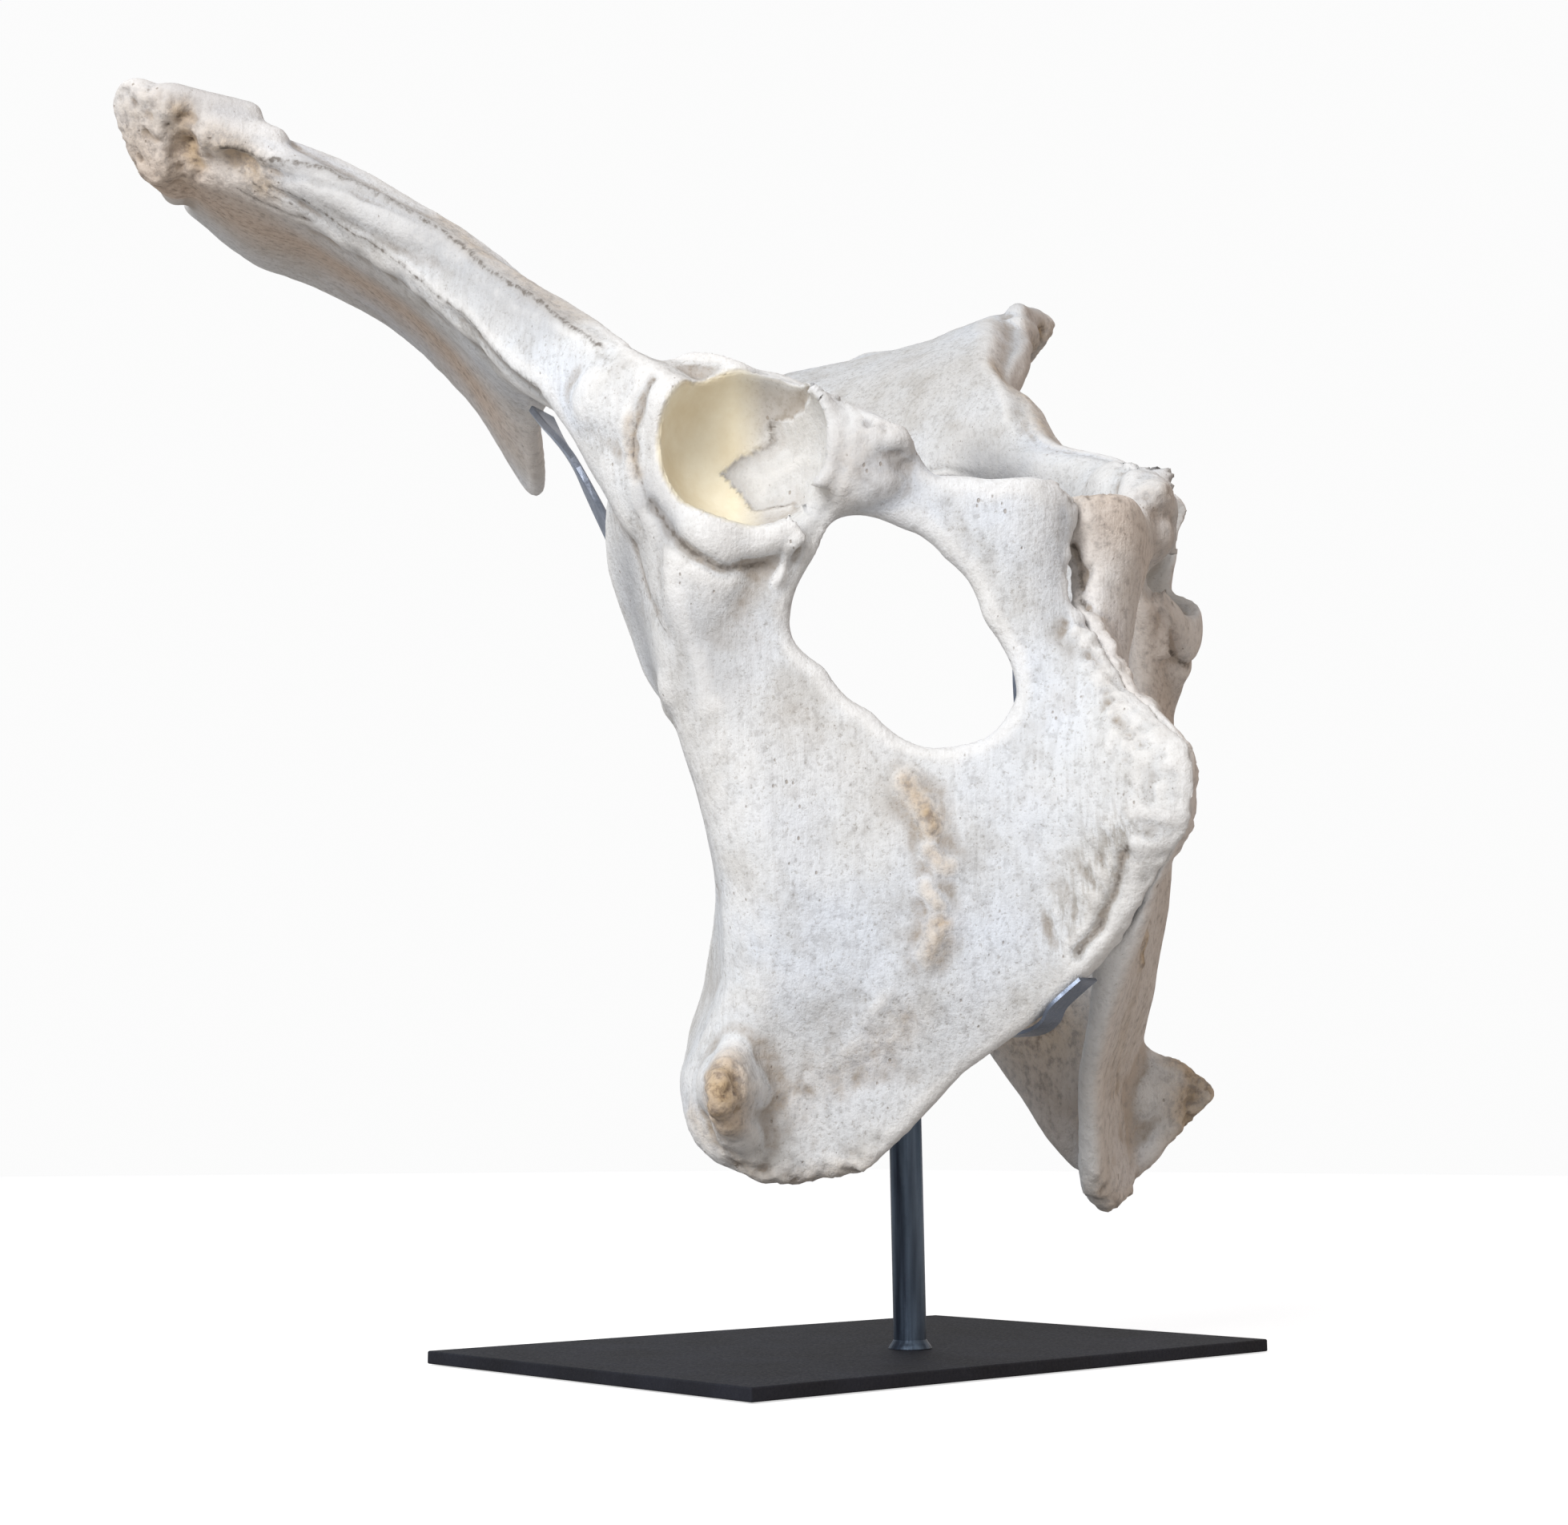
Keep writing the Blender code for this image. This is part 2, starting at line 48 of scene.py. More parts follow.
def node(tree, kind, inputs=(), **settings):
    """New shader node beside the last one, with its settings. Each (socket, value) pair gives an
    input a number, a vector or a colour, or links it to another node's output."""
    made = tree.nodes.new(kind)
    made.location = (NODE_STEP * len(tree.nodes), 0)
    for key, value in settings.items():
        setattr(made, key, value)
    for socket, value in inputs:
        if isinstance(value, (tuple, float, int)):
            made.inputs[socket].default_value = value
        else:
            tree.links.new(value, made.inputs[socket])
    return made


def ramp(tree, source, stops):
    """Colour ramp on a value, from (place, colour) stops. A colour of one number is a grey."""
    made = node(tree, "ShaderNodeValToRGB", [("Fac", source)])
    elements = made.color_ramp.elements
    while len(elements) < len(stops):
        elements.new(0.5)
    for element, (place, colour) in zip(elements, stops):
        element.position = place
        element.color = (*colour, 1) if len(colour) == 3 else (colour[0],) * 3 + (1,)
    return made.outputs["Color"]


def cloud(tree, vector, scale, detail, rough=0.55):
    """Noise value at a place vector."""
    return node(tree, "ShaderNodeTexNoise", [("Vector", vector), ("Scale", scale), ("Detail", detail),
                                             ("Roughness", rough)]).outputs["Fac"]


def steel_pattern():
    """Pattern that all the steels share, as a node group: a cloudy tone, which can be drawn out
    along the piece, and a fine grain."""
    group = bpy.data.node_groups.new("steel_pattern", "ShaderNodeTree")
    for way, kind, name in (("INPUT", "Float", "Tone Scale"), ("INPUT", "Float", "Grain Scale"),
                            ("INPUT", "Vector", "Drawn Out"), ("OUTPUT", "Float", "Tone"),
                            ("OUTPUT", "Float", "Grain")):
        group.interface.new_socket(name, in_out=way, socket_type="NodeSocket" + kind)
    given = node(group, "NodeGroupInput").outputs
    place = node(group, "ShaderNodeTexCoord").outputs["Object"]
    drawn = node(group, "ShaderNodeMapping", [("Vector", place), ("Scale", given["Drawn Out"])])
    tone = cloud(group, drawn.outputs["Vector"], given["Tone Scale"], 4.0)
    grain = cloud(group, place, given["Grain Scale"], 3.0, 0.6)
    node(group, "NodeGroupOutput", [("Tone", tone), ("Grain", grain)])
    return group


STEEL_PATTERN = steel_pattern()


def new_material(name):
    """New material with its node tree and its shader."""
    mat = bpy.data.materials.new(name)
    mat.use_nodes = True
    return mat, mat.node_tree, mat.node_tree.nodes["Principled BSDF"]


def steel(name, dark, light, metallic, rough, grain, bump_depth, tone=30.0, along=1.0, specular=0.5):
    """Steel with a cloudy tone between two colours, and a fine grain that sets both how rough it
    is, between two values, and its relief."""
    mat, tree, shader = new_material(name)
    shader.inputs["Metallic"].default_value = metallic
    shader.inputs["Specular IOR Level"].default_value = specular
    pattern = node(tree, "ShaderNodeGroup", [("Tone Scale", tone), ("Grain Scale", grain),
                                             ("Drawn Out", (1.0, 1.0, along))],
                   node_tree=STEEL_PATTERN).outputs
    colour = ramp(tree, pattern["Tone"], [(0.35, dark), (0.65, light)])
    tree.links.new(colour, shader.inputs["Base Color"])
    dull = ramp(tree, pattern["Grain"], [(0.3, (rough[0],)), (0.7, (rough[1],))])
    tree.links.new(dull, shader.inputs["Roughness"])
    bump = node(tree, "ShaderNodeBump", [("Strength", 0.4), ("Distance", bump_depth),
                                         ("Height", pattern["Grain"])])
    tree.links.new(bump.outputs["Normal"], shader.inputs["Normal"])
    return mat


def give_finish(name, finish):
    """Puts a finish on one of the CAD's own objects."""
    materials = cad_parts[name].data.materials
    materials.clear()
    materials.append(finish)


black_plate = steel("black_plate", dark=(0.003, 0.003, 0.006), light=(0.009, 0.010, 0.017), metallic=0.0,
                    rough=(0.55, 0.8), grain=900.0, bump_depth=0.0003, specular=0.33)
give_finish("base_plate", black_plate)


# Upright: a round bar of mild steel, blued all over, with lighter bluish streaks along it that are partly
# the blueing's own tone and partly painted highlight.
# Its foot is welded to the plate. The CAD's own bar stays and is finished.

blued_rod = steel("blued_rod", dark=(0.012, 0.018, 0.032), light=(0.17, 0.23, 0.31), metallic=0.7,
                  rough=(0.28, 0.45), grain=500.0, bump_depth=0.0001, tone=90.0, along=0.07)
give_finish("upright_rod", blued_rod)


# Ilium cradle: a flat strip of bare steel, bent and fixed on top of the upright. Its arms hold
# both hip bones at the notch behind the ilium. The CAD's own cradle stays and is finished.

bright_strap = steel("bright_strap", dark=(0.17, 0.20, 0.26), light=(0.48, 0.51, 0.58), metallic=0.8,
                     rough=(0.25, 0.45), grain=700.0, bump_depth=0.0001, tone=18.0)
give_finish("ilium_cradle", bright_strap)


# Hip bones: two dry, weathered bones of a bull moose that meet at the pelvic floor, with a narrow
# slit between them. Each is one piece: ilium blade, socket, pubis and ischium. They hang on the
# cradle and rest against the clip.

MM = 0.001

# The pelvis is measured from the rod's foot, and leans and turns with the rod
ROD_X, ROD_Y = 2.2, -25.3
STAND_TURN, STAND_LEAN = math.radians(-7.2), math.radians(-1.0)
PELVIS = (Matrix.Translation((ROD_X, ROD_Y, 0)) @ Matrix.Rotation(STAND_TURN, 4, "Z")
          @ Matrix.Rotation(STAND_LEAN, 4, "Y"))
# Half of the slit at the mid plane
SYMPHYSIS_GAP = 0.5

# Ilium: rows from the neck to the tuber coxae, each across from the thick side bar to the
# thin inner blade, as (out, back, up, half thickness) in mm
ILIUM = [
    [(122, -32, 338, 22), (115, -24, 342, 22), (108, -16, 346, 20), (101, -8, 350, 16)],
    [(133, 2, 363, 20), (128, 11, 367, 20), (122, 19, 370, 18), (117, 27, 373, 13)],
    [(138, 28, 382, 21), (129, 43, 387, 18), (120, 60, 394, 11), (111, 76, 400, 5)],
    [(142, 43, 396, 20), (127, 72, 399, 15), (110, 100, 397, 8), (90, 128, 390, 4)],
    [(146, 58, 411, 21), (125, 96, 412, 14), (98, 138, 402, 7), (58, 187, 377, 3)],
    [(158, 87, 438, 21), (136, 128, 441, 14), (110, 167, 434, 6), (78, 207, 421, 3)],
    [(172, 112, 459, 21), (151, 152, 462, 13), (126, 198, 464, 6), (100, 245, 466, 3)],
    [(188, 134, 479, 20), (172, 175, 482, 12), (152, 220, 486, 6), (134, 265, 489, 4)],
    [(205, 150, 492, 18), (193, 190, 492, 12), (178, 232, 494, 7), (163, 272, 497, 4)],
    [(226, 165, 502, 18), (213, 198, 502, 14), (204, 234, 507, 7), (195, 270, 515, 4.5)],
    [(242, 182, 505, 18), (224, 202, 504, 15), (209, 233, 509, 7), (197, 269, 516, 4.5)]]

# Pelvic floor: height, floor line at the mid plane, distance of the bend, keel bulge
FLOOR_ROWS = np.array([
    (50, -84, 122, 0), (80, -91, 124, 0), (108, -97, 128, 0), (140, -114, 126, 0), (175, -122, 129, -10),
    (195, -123, 133, -29), (212, -123, 136, -29), (235, -122, 143, -3), (262, -122, 150, 14),
    (300, -128, 154, 26), (340, -127, 160, 20), (380, -127, 162, 10)], float)
FLOOR_ANGLE = math.radians(40.0)
WALL_ANGLE_LOW = math.radians(113.0)
WALL_ANGLE_HIGH = math.radians(98.0)
WALL_LOW, WALL_HIGH = 240.0, 300.0
BEND_RADIUS = 16.0
PLATE_HALF = 4.6
KEEL_WIDTH = 19.0
# Border of pubis, ischium and wall, and of the foramen, as (distance along the floor, height)
OUTLINE = np.array([
    (-6, 316), (-4, 303), (6, 294), (6, 280), (-7, 264), (-9, 235), (-9, 210), (-9, 184), (-9, 168),
    (1, 146), (20, 124), (38, 108), (54, 89), (70, 73), (92, 68), (110, 70), (127, 79), (144, 92),
    (167, 108), (193, 127), (190, 144), (172, 165), (161, 186), (163, 206), (170, 224), (181, 242),
    (204, 266), (212, 285), (215, 305), (208, 330), (170, 350), (124, 354), (100, 352), (82, 345),
    (74, 337), (64, 321), (42, 319), (20, 320)], float)
FORAMEN = np.array([
    (101, 306), (92, 308), (76, 302), (60, 290), (45, 268), (34, 250), (33, 240), (42, 227),
    (66, 223), (84, 237), (100, 253), (113, 265), (113, 278), (106, 293)], float)
FORAMEN_CENTRE = np.array((76.0, 262.0))

# Socket: its place, the direction that it opens in, and the ball that hollows it out
SOCKET = np.array((108.0, -47.0, 332.0))
SOCKET_AXIS = np.array((0.70, -0.70, 0.20)) / np.linalg.norm((0.70, -0.70, 0.20))
SOCKET_RADIUS = 32.0
SOCKET_CENTRE = SOCKET + SOCKET_AXIS * 3 + (-4.5, -2.5, 1)

# Rounded masses between the plates: start, radius, end, radius
MASSES = [
    ((104, -30, 332), 25, (126, 2, 358), 20), ((118, -12, 318), 17, (127, 6, 348), 15),
    ((110, -36, 300), 20, (109, -18, 250), 13), ((112, -16, 285), 13, (106, -8, 245), 9),
    ((92, -56, 328), 12, (76, -74, 333), 9), ((76, -76, 333), 9, (64, -84, 332), 7),
    ((92, -58, 316), 10, (68, -80, 318), 8), ((98, -26, 104), 14, (116, -46, 101), 5.5),
    ((93, -24, 119), 8, (114, -44, 103), 5.5), ((94, -24, 87), 9, (113, -43, 98), 5),
    ((251, 184, 516), 12, (240, 189, 500), 13), ((240, 190, 500), 12, (226, 206, 500), 11),
    ((214, 157, 511), 6.5, (240, 174, 513), 12), ((206, 150, 499), 7, (226, 163, 503), 10),
    ((205, 150, 491), 8, (153, 92, 442), 8.5), ((153, 92, 442), 8.5, (134, 34, 397), 10),
    ((134, 34, 397), 10, (122, -30, 349), 12), ((226, 210, 502), 9, (212, 246, 509), 6),
    ((141, 23, 367), 6.5, (133, 5, 342), 8), ((86, -60, 350), 9, (68, -82, 334), 6)]

# Flat outer face of the ilium: places along its upper and its lower border
FACE = [
    [(193, 140, 483), (196, 142, 478)], [(179, 124, 474), (184, 128, 461)],
    [(162, 104, 462), (171, 109, 443)], [(154, 88, 451), (163, 95, 430)],
    [(151, 55, 425), (156, 68, 408)], [(144, 27, 404), (153, 43, 383)],
    [(139, 0, 380), (147, 22, 366)], [(137, -10, 368), (143, 17, 354)]]
FACE_INWARD = np.array((-0.58, 0.81, 0.0))
FACE_HALF = 6.0
FACE_ROUNDING = 3.0

# Flats worn or grown on rounded places: a place on the flat, its outward direction, its reach
FLATS = [
    ((253, 183, 509), (0.80, -0.24, -0.55), 30), ((232, 172, 524), (-0.25, 0.1, 0.96), 30),
    ((84, -30, 66), (0.25, -0.45, -0.86), 34), ((104, -10, 84), (0.8, 0.1, -0.6), 22)]

# The left bone isn't quite the mirror image of the right one. Places on it, how far round
# them it differs, and by how much
LEFT_SHIFTS = [
    ((142, 36, 408), 44, (-10, 7, -12)), ((168, 92, 452), 30, (-7, 5, -8)),
    ((106, -46, 368), 30, (0, 0, -10)), ((114, -50, 288), 22, (0, 0, -11)),
    ((84, 0, 95), 30, (0, 0, -17)), ((70, -40, 64), 30, (0, 0, -13)), ((88, -34, 72), 20, (6, -4, -4)),
    ((94, -68, 304), 10, (-6.5, 4.6, 0)), ((122, -33, 315), 10, (-6.5, 4.6, 0)),
    ((236, 160, 508), 24, (-3.5, 2.5, -1)), ((4, -152, 200), 24, (0, 4, 0)),
    ((86, -22, 70), 22, (0, 0, 5))]


def through(rows, count):
    """Smooth curve through rows of numbers: each stretch is the cubic that leaves a row with
    half the step between that row's two neighbours."""
    rows = np.asarray(rows, float)
    last = len(rows) - 1
    t = np.linspace(0, last, count)
    i = np.clip(t.astype(int), 0, last - 1)
    f = (t - i).reshape((-1,) + (1,) * (rows.ndim - 1))
    a, b, c, d = (rows[np.clip(i + k, 0, last)] for k in (-1, 0, 1, 2))
    return 0.5 * (2 * b + (c - a) * f + (2 * a - 5 * b + 4 * c - d) * f ** 2
                  + (3 * b - a - 3 * c + d) * f ** 3)


def net_through(places, rows, columns):
    """Smooth net through rows of numbers: curves along the rows, then curves across them."""
    net = through(places, rows)
    return np.swapaxes(through(np.swapaxes(net, 0, 1), columns), 0, 1)


def rounded_edge(distance, half):
    """Share of the half thickness near an edge: a quarter circle as deep as that half."""
    reach = np.clip(distance / np.maximum(half, 0.1), 0, 1)
    return np.sqrt(1 - (1 - reach) ** 2)


def grid_quads(rows, columns, close_rows=False, close_columns=False):
    """Corner numbers of the quads of a grid whose points are counted row by row."""
    r = np.arange(rows if close_rows else rows - 1)[:, None]
    c = np.arange(columns if close_columns else columns - 1)[None, :]
    s, d = (r + 1) % rows, (c + 1) % columns
    return np.stack([r * columns + c, r * columns + d, s * columns + d, s * columns + c], -1).reshape(-1, 4)


def skin(middle, half, close_rows=False):
    """Both faces of a plate: the middle surface moved by the half thickness along its normal,
    which is the cross product of the steps along the rows and across them."""
    along = (np.roll(middle, -1, 0) - np.roll(middle, 1, 0)) if close_rows else np.gradient(middle, axis=0)
    normal = np.cross(along, np.gradient(middle, axis=1))
    normal /= np.linalg.norm(normal, axis=2, keepdims=True) + 1e-9
    rows, columns = half.shape
    quads = grid_quads(rows, columns, close_rows)
    sides = [(middle + normal * half[..., None] * k).reshape(-1, 3) for k in (1, -1)]
    return np.vstack(sides), np.vstack([quads, quads[:, ::-1] + rows * columns])


def ilium_skin():
    """Blade and side bar: a net of cubics through the rows, as thick as the rows say and
    rounded off at all four edges."""
    rows, columns = 90, 60
    net = net_through(ILIUM, rows, columns)
    middle, half = net[..., :3], net[..., 3]
    across = np.insert(np.cumsum(np.linalg.norm(np.diff(middle, axis=1), axis=2), 1), 0, 0, axis=1)
    along = np.insert(np.cumsum(np.linalg.norm(np.diff(middle, axis=0), axis=2), 0), 0, 0, axis=0)
    edge = np.minimum(across, across[:, -1:] - across)
    end = np.minimum(along, along[-1:] - along)
    return skin(middle, half * rounded_edge(edge, half) * rounded_edge(end, half))


def soft(distance, width):
    """Bell: e to the power of minus the square of distance / width. It is 1 at distance 0 and
    near 0 beyond twice the width."""
    return np.exp(-(distance / width) ** 2)


def floor_point(distance, height):
    """Middle of the pelvic floor, from the distance along it and the height: straight from the
    mid plane, round a bend of one radius, then straight up the wall, with a keel at the mid plane."""
    line, bend, keel = (np.interp(height, FLOOR_ROWS[:, 0], FLOOR_ROWS[:, k]) for k in (1, 2, 3))
    wall = WALL_ANGLE_LOW + (WALL_ANGLE_HIGH - WALL_ANGLE_LOW) * np.clip(
        (height - WALL_LOW) / (WALL_HIGH - WALL_LOW), 0, 1)
    turn = wall - FLOOR_ANGLE
    start = bend - BEND_RADIUS * np.tan(turn / 2)
    q = np.clip((distance - start) / BEND_RADIUS, 0, turn)
    flat = np.minimum(distance, start)
    rest = np.maximum(distance - start - BEND_RADIUS * turn, 0)
    out = (flat * math.cos(FLOOR_ANGLE) + rest * np.cos(wall)
           + BEND_RADIUS * (np.sin(FLOOR_ANGLE + q) - math.sin(FLOOR_ANGLE)))
    back = (line + flat * math.sin(FLOOR_ANGLE) + rest * np.sin(wall)
            - BEND_RADIUS * (np.cos(FLOOR_ANGLE + q) - math.cos(FLOOR_ANGLE))
            + keel * soft(distance, KEEL_WIDTH))
    return np.stack([out, back, height], -1)


def floor_half(distance, height):
    """Half thickness of the floor: the plate's own, and a bell-shaped rise each at the mid plane,
    along the bend, at the tuber and at the pubis."""
    bend = np.interp(height, FLOOR_ROWS[:, 0], FLOOR_ROWS[:, 2])
    return (PLATE_HALF + 5.0 * soft(distance, 16)
            + 6.5 * soft(distance - bend, 24) * np.clip((height - 120) / 90, 0.35, 1)
            + 4.0 * np.exp(-(((distance - 150) / 45) ** 2 + ((height - 90) / 30) ** 2))
            + 3.0 * soft(height - 318, 22))


def outline_radius(points, angles):
    """Distance of a closed outline from the foramen's middle at the given angles, read off
    between its points."""
    rel = points - FORAMEN_CENTRE
    angle, radius = np.arctan2(rel[:, 1], rel[:, 0]), np.linalg.norm(rel, axis=1)
    order = np.argsort(angle)
    return np.interp(angles, angle[order], radius[order], period=2 * math.pi)


def floor_skin():
    """Pubis, ischium and wall: rings from the foramen's outline to the outer outline, closer
    together near both."""
    spokes, rings = 260, 70
    angle = np.linspace(-math.pi, math.pi, spokes, endpoint=False)[:, None]
    inner, outer = outline_radius(FORAMEN, angle), outline_radius(OUTLINE, angle)
    radius = inner + (outer - inner) * (1 - np.cos(np.linspace(0, math.pi, rings))) / 2
    distance = FORAMEN_CENTRE[0] + radius * np.cos(angle)
    height = FORAMEN_CENTRE[1] + radius * np.sin(angle)
    half = floor_half(distance, height)
    half = half * rounded_edge(np.minimum(radius - inner, outer - radius), half)
    return skin(floor_point(distance, height), half, close_rows=True)


def face_skin():
    """Plate under the outer face: a net through both borders, moved inwards by the half
    thickness, with its edges rounded off."""
    rows, columns = 60, 24
    net = net_through(FACE, rows, columns)
    edge = np.minimum(np.arange(columns), columns - 1 - np.arange(columns))[None, :]
    end = np.minimum(np.arange(rows), rows - 1 - np.arange(rows))[:, None] * 3.0
    half = FACE_HALF * rounded_edge(np.minimum(edge, end), FACE_ROUNDING)
    return skin(net + FACE_INWARD * FACE_HALF, half)


def across_of(axis):
    """Two unit directions square to an axis and to each other."""
    first = np.cross(axis, (0.0, 0.0, 1.0) if abs(axis[2]) < 0.9 else (1.0, 0.0, 0.0))
    first /= np.linalg.norm(first)
    return first, np.cross(axis, first)


def taper_skin(start, start_radius, end, end_radius):
    """Round-ended taper: half a ball at each end, and straight lines between them."""
    start, end = np.array(start, float), np.array(end, float)
    axis = (end - start) / np.linalg.norm(end - start)
    u, v = across_of(axis)
    rows, columns = 28, 28
    quarter = np.linspace(0, math.pi / 2, rows // 2)
    turn = np.concatenate([quarter - math.pi / 2, quarter])[:, None, None]
    phi = np.linspace(0, 2 * math.pi, columns, endpoint=False)[None, :, None]
    far = (np.arange(rows) >= rows // 2)[:, None, None]
    radius = np.where(far, end_radius, start_radius)
    points = (np.where(far, end, start) + axis * radius * np.sin(turn)
              + (u * np.cos(phi) + v * np.sin(phi)) * radius * np.cos(turn))
    return points.reshape(-1, 3), grid_quads(rows, columns, close_columns=True)


def flat_ball_skin(centre, axis, radius, depth):
    """Ball with one radius square to an axis and another, the depth, along it."""
    u, v = across_of(axis)
    rows, columns = 33, 64
    turn = np.linspace(-math.pi / 2, math.pi / 2, rows)[:, None, None]
    phi = np.linspace(0, 2 * math.pi, columns, endpoint=False)[None, :, None]
    points = (centre + axis * depth * np.sin(turn)
              + (u * np.cos(phi) + v * np.sin(phi)) * radius * np.cos(turn))
    return points.reshape(-1, 3), grid_quads(rows, columns, close_columns=True)


# Lip: radius of its circle and of its section, how far it stands out and draws in, and how far
# it lies behind the socket's mouth
SOCKET_U, SOCKET_V = across_of(SOCKET_AXIS)
LIP_RADIUS = 36.4
LIP_TUBE = 4.6
LIP_PEAK, LIP_DIP = 8.5, 6.0
LIP_SUNK = 6.0
# Ways from the socket's middle to the thick, the high and the drawn-in stretch of the lip
LIP_WAYS = ((0.45, 0.30, -0.84), (0.42, 0.30, 0.86), (-0.30, -0.22, 0.93))


def lip_skin():
    """Ring round the socket: a round section carried along a circle. It is thicker low down and
    behind, stands further out at the top behind, and draws in at the top in front."""
    rows, columns = 120, 24
    a = np.linspace(0, 2 * math.pi, rows, endpoint=False)[:, None]
    b = np.linspace(0, 2 * math.pi, columns, endpoint=False)[None, :]
    towards = [np.cos(a - math.atan2(np.dot(d, SOCKET_V), np.dot(d, SOCKET_U))) for d in LIP_WAYS]
    low = 0.5 + 0.5 * towards[0]
    peak, dip = (np.clip(t, 0, 1) ** 8 for t in towards[1:])
    tube = LIP_TUBE + 1.6 * low
    radius = LIP_RADIUS + LIP_PEAK * peak - LIP_DIP * dip + tube * np.cos(b)
    points = (SOCKET + SOCKET_U * (radius * np.cos(a))[..., None]
              + SOCKET_V * (radius * np.sin(a))[..., None]
              + SOCKET_AXIS * (tube * np.sin(b) - LIP_SUNK)[..., None])
    return points.reshape(-1, 3), grid_quads(rows, columns, close_rows=True, close_columns=True)


def box_skin(low, high):
    """Box between its lowest and its highest corner."""
    u, v, w = np.meshgrid(*[(a, b) for a, b in zip(low, high)], indexing="ij")
    corners = np.stack([u, v, w], -1).reshape(-1, 3)
    return corners, np.array([(0, 1, 3, 2), (4, 6, 7, 5), (0, 4, 5, 1), (2, 3, 7, 6), (0, 2, 6, 4),
                              (1, 5, 7, 3)])


def plain_mesh(name, parts):
    """One mesh from several (points, quads), with doubles merged and faces turned outwards."""
    offset = np.cumsum([0] + [len(p) for p, _ in parts])
    mesh = bpy.data.meshes.new(name)
    mesh.from_pydata((np.vstack([p for p, _ in parts]) * MM).tolist(), [],
                     np.vstack([q + o for (_, q), o in zip(parts, offset)]).tolist())
    bm = bmesh.new()
    bm.from_mesh(mesh)
    bmesh.ops.remove_doubles(bm, verts=bm.verts, dist=0.00001)
    bmesh.ops.recalc_face_normals(bm, faces=bm.faces)
    bm.to_mesh(mesh)
    bm.free()
    return mesh


def in_scene(name, data):
    """New object with this mesh, lamp or camera, linked to the scene."""
    obj = bpy.data.objects.new(name, data)
    bpy.context.scene.collection.objects.link(obj)
    return obj


def set_modifiers(obj, steps):
    """Adds modifiers from (type, settings) pairs and applies them all to the mesh."""
    for kind, values in steps:
        mod = obj.modifiers.new(kind.lower(), kind)
        for key, value in values.items():
            setattr(mod, key, value)
    graph = bpy.context.evaluated_depsgraph_get()
    graph.update()
    mesh = bpy.data.meshes.new_from_object(obj.evaluated_get(graph))
    obj.modifiers.clear()
    obj.data = mesh


# Flat ball behind the socket: how far behind, its radius and its depth
SOCKET_BASE = (14.0, 40.0, 22.0)
# What is cut away: the notch in the lip as a taper, and all beyond the mid plane as a box
SOCKET_NOTCH = ((97, -62, 318), 7.5, (78, -70, 292), 7.5)
BEYOND_MID = ((-60, -220, 0), (0, 100, 400))

# Edge of the small cubes that the skins are fused with, first and last
FIRST_CUBE = 2.2
LAST_CUBE, LAST_CUBE_QUICK = 1.65, 2.6


def fused_bone(last_cube):
    """All skins fused into one closed skin, with the socket, its notch and what lies beyond the
    mid plane cut out."""
    behind, radius, depth = SOCKET_BASE
    socket_base = flat_ball_skin(SOCKET - SOCKET_AXIS * behind, SOCKET_AXIS, radius, depth)
    skins = [ilium_skin(), face_skin(), floor_skin(), lip_skin(), socket_base,
             *(taper_skin(*m) for m in MASSES)]
    bone = in_scene("hip_bone", plain_mesh("hip_bone", skins))
    set_modifiers(bone, [("REMESH", {"mode": "VOXEL", "voxel_size": FIRST_CUBE * MM}),
                         ("SMOOTH", {"factor": 0.5, "iterations": 5})])
    cuts = [flat_ball_skin(SOCKET_CENTRE, SOCKET_AXIS, SOCKET_RADIUS, SOCKET_RADIUS),
            taper_skin(*SOCKET_NOTCH), box_skin(*BEYOND_MID)]
    cutters = [in_scene("cut", plain_mesh("cut", [part])) for part in cuts]
    set_modifiers(bone, [("BOOLEAN", {"operation": "DIFFERENCE", "object": c, "solver": "MANIFOLD"})
                         for c in cutters])
    for cutter in cutters:
        bpy.data.objects.remove(cutter)
    set_modifiers(bone, [("REMESH", {"mode": "VOXEL", "voxel_size": last_cube * MM}),
                         ("SMOOTH", {"factor": 0.5, "iterations": 4})])
    return bone


def points_of(mesh):
    """Points of a mesh in mm."""
    co = np.empty(len(mesh.vertices) * 3, np.float32)
    mesh.vertices.foreach_get("co", co)
    return co.reshape(-1, 3).astype(float) / MM


def corners_of(mesh):
    """Quads of a mesh as corner numbers."""
    corners = np.empty(len(mesh.loops), np.int32)
    mesh.loops.foreach_get("vertex_index", corners)
    return corners.reshape(-1, 4)


def face_out(points, quads):
    """Normal at each point: the sum of the cross products of its quads' diagonals."""
    a, b, c, d = (points[quads[:, k]] for k in range(4))
    across = np.cross(c - a, d - b)
    normal = np.zeros_like(points)
    for k in range(4):
        np.add.at(normal, quads[:, k], across)
    return normal / (np.linalg.norm(normal, axis=1, keepdims=True) + 1e-12)


def eased(values, quads, rounds):
    """Values at the points, each time replaced by the mean over the point's quads."""
    count = np.zeros(len(values))
    for k in range(4):
        np.add.at(count, quads[:, k], 1)
    shape = (-1,) + (1,) * (values.ndim - 1)
    for _ in range(rounds):
        mean = values[quads].mean(1)
        total = np.zeros_like(values)
        for k in range(4):
            np.add.at(total, quads[:, k], mean)
        values = total / count.reshape(shape)
    return values


def near_path(points, path):
    """Distance of each point from a path of straight stretches, and the number of the nearest
    stretch."""
    path = np.array(path, float)
    best, place = np.full(len(points), 1e9), np.zeros(len(points), int)
    for k, (a, b) in enumerate(zip(path, path[1:])):
        step = b - a
        t = np.clip((points - a) @ step / (step @ step + 1e-9), 0, 1)
        gap = np.linalg.norm(points - a - t[:, None] * step, axis=1)
        best, place = np.where(gap < best, gap, best), np.where(gap < best, k, place)
    return best, place


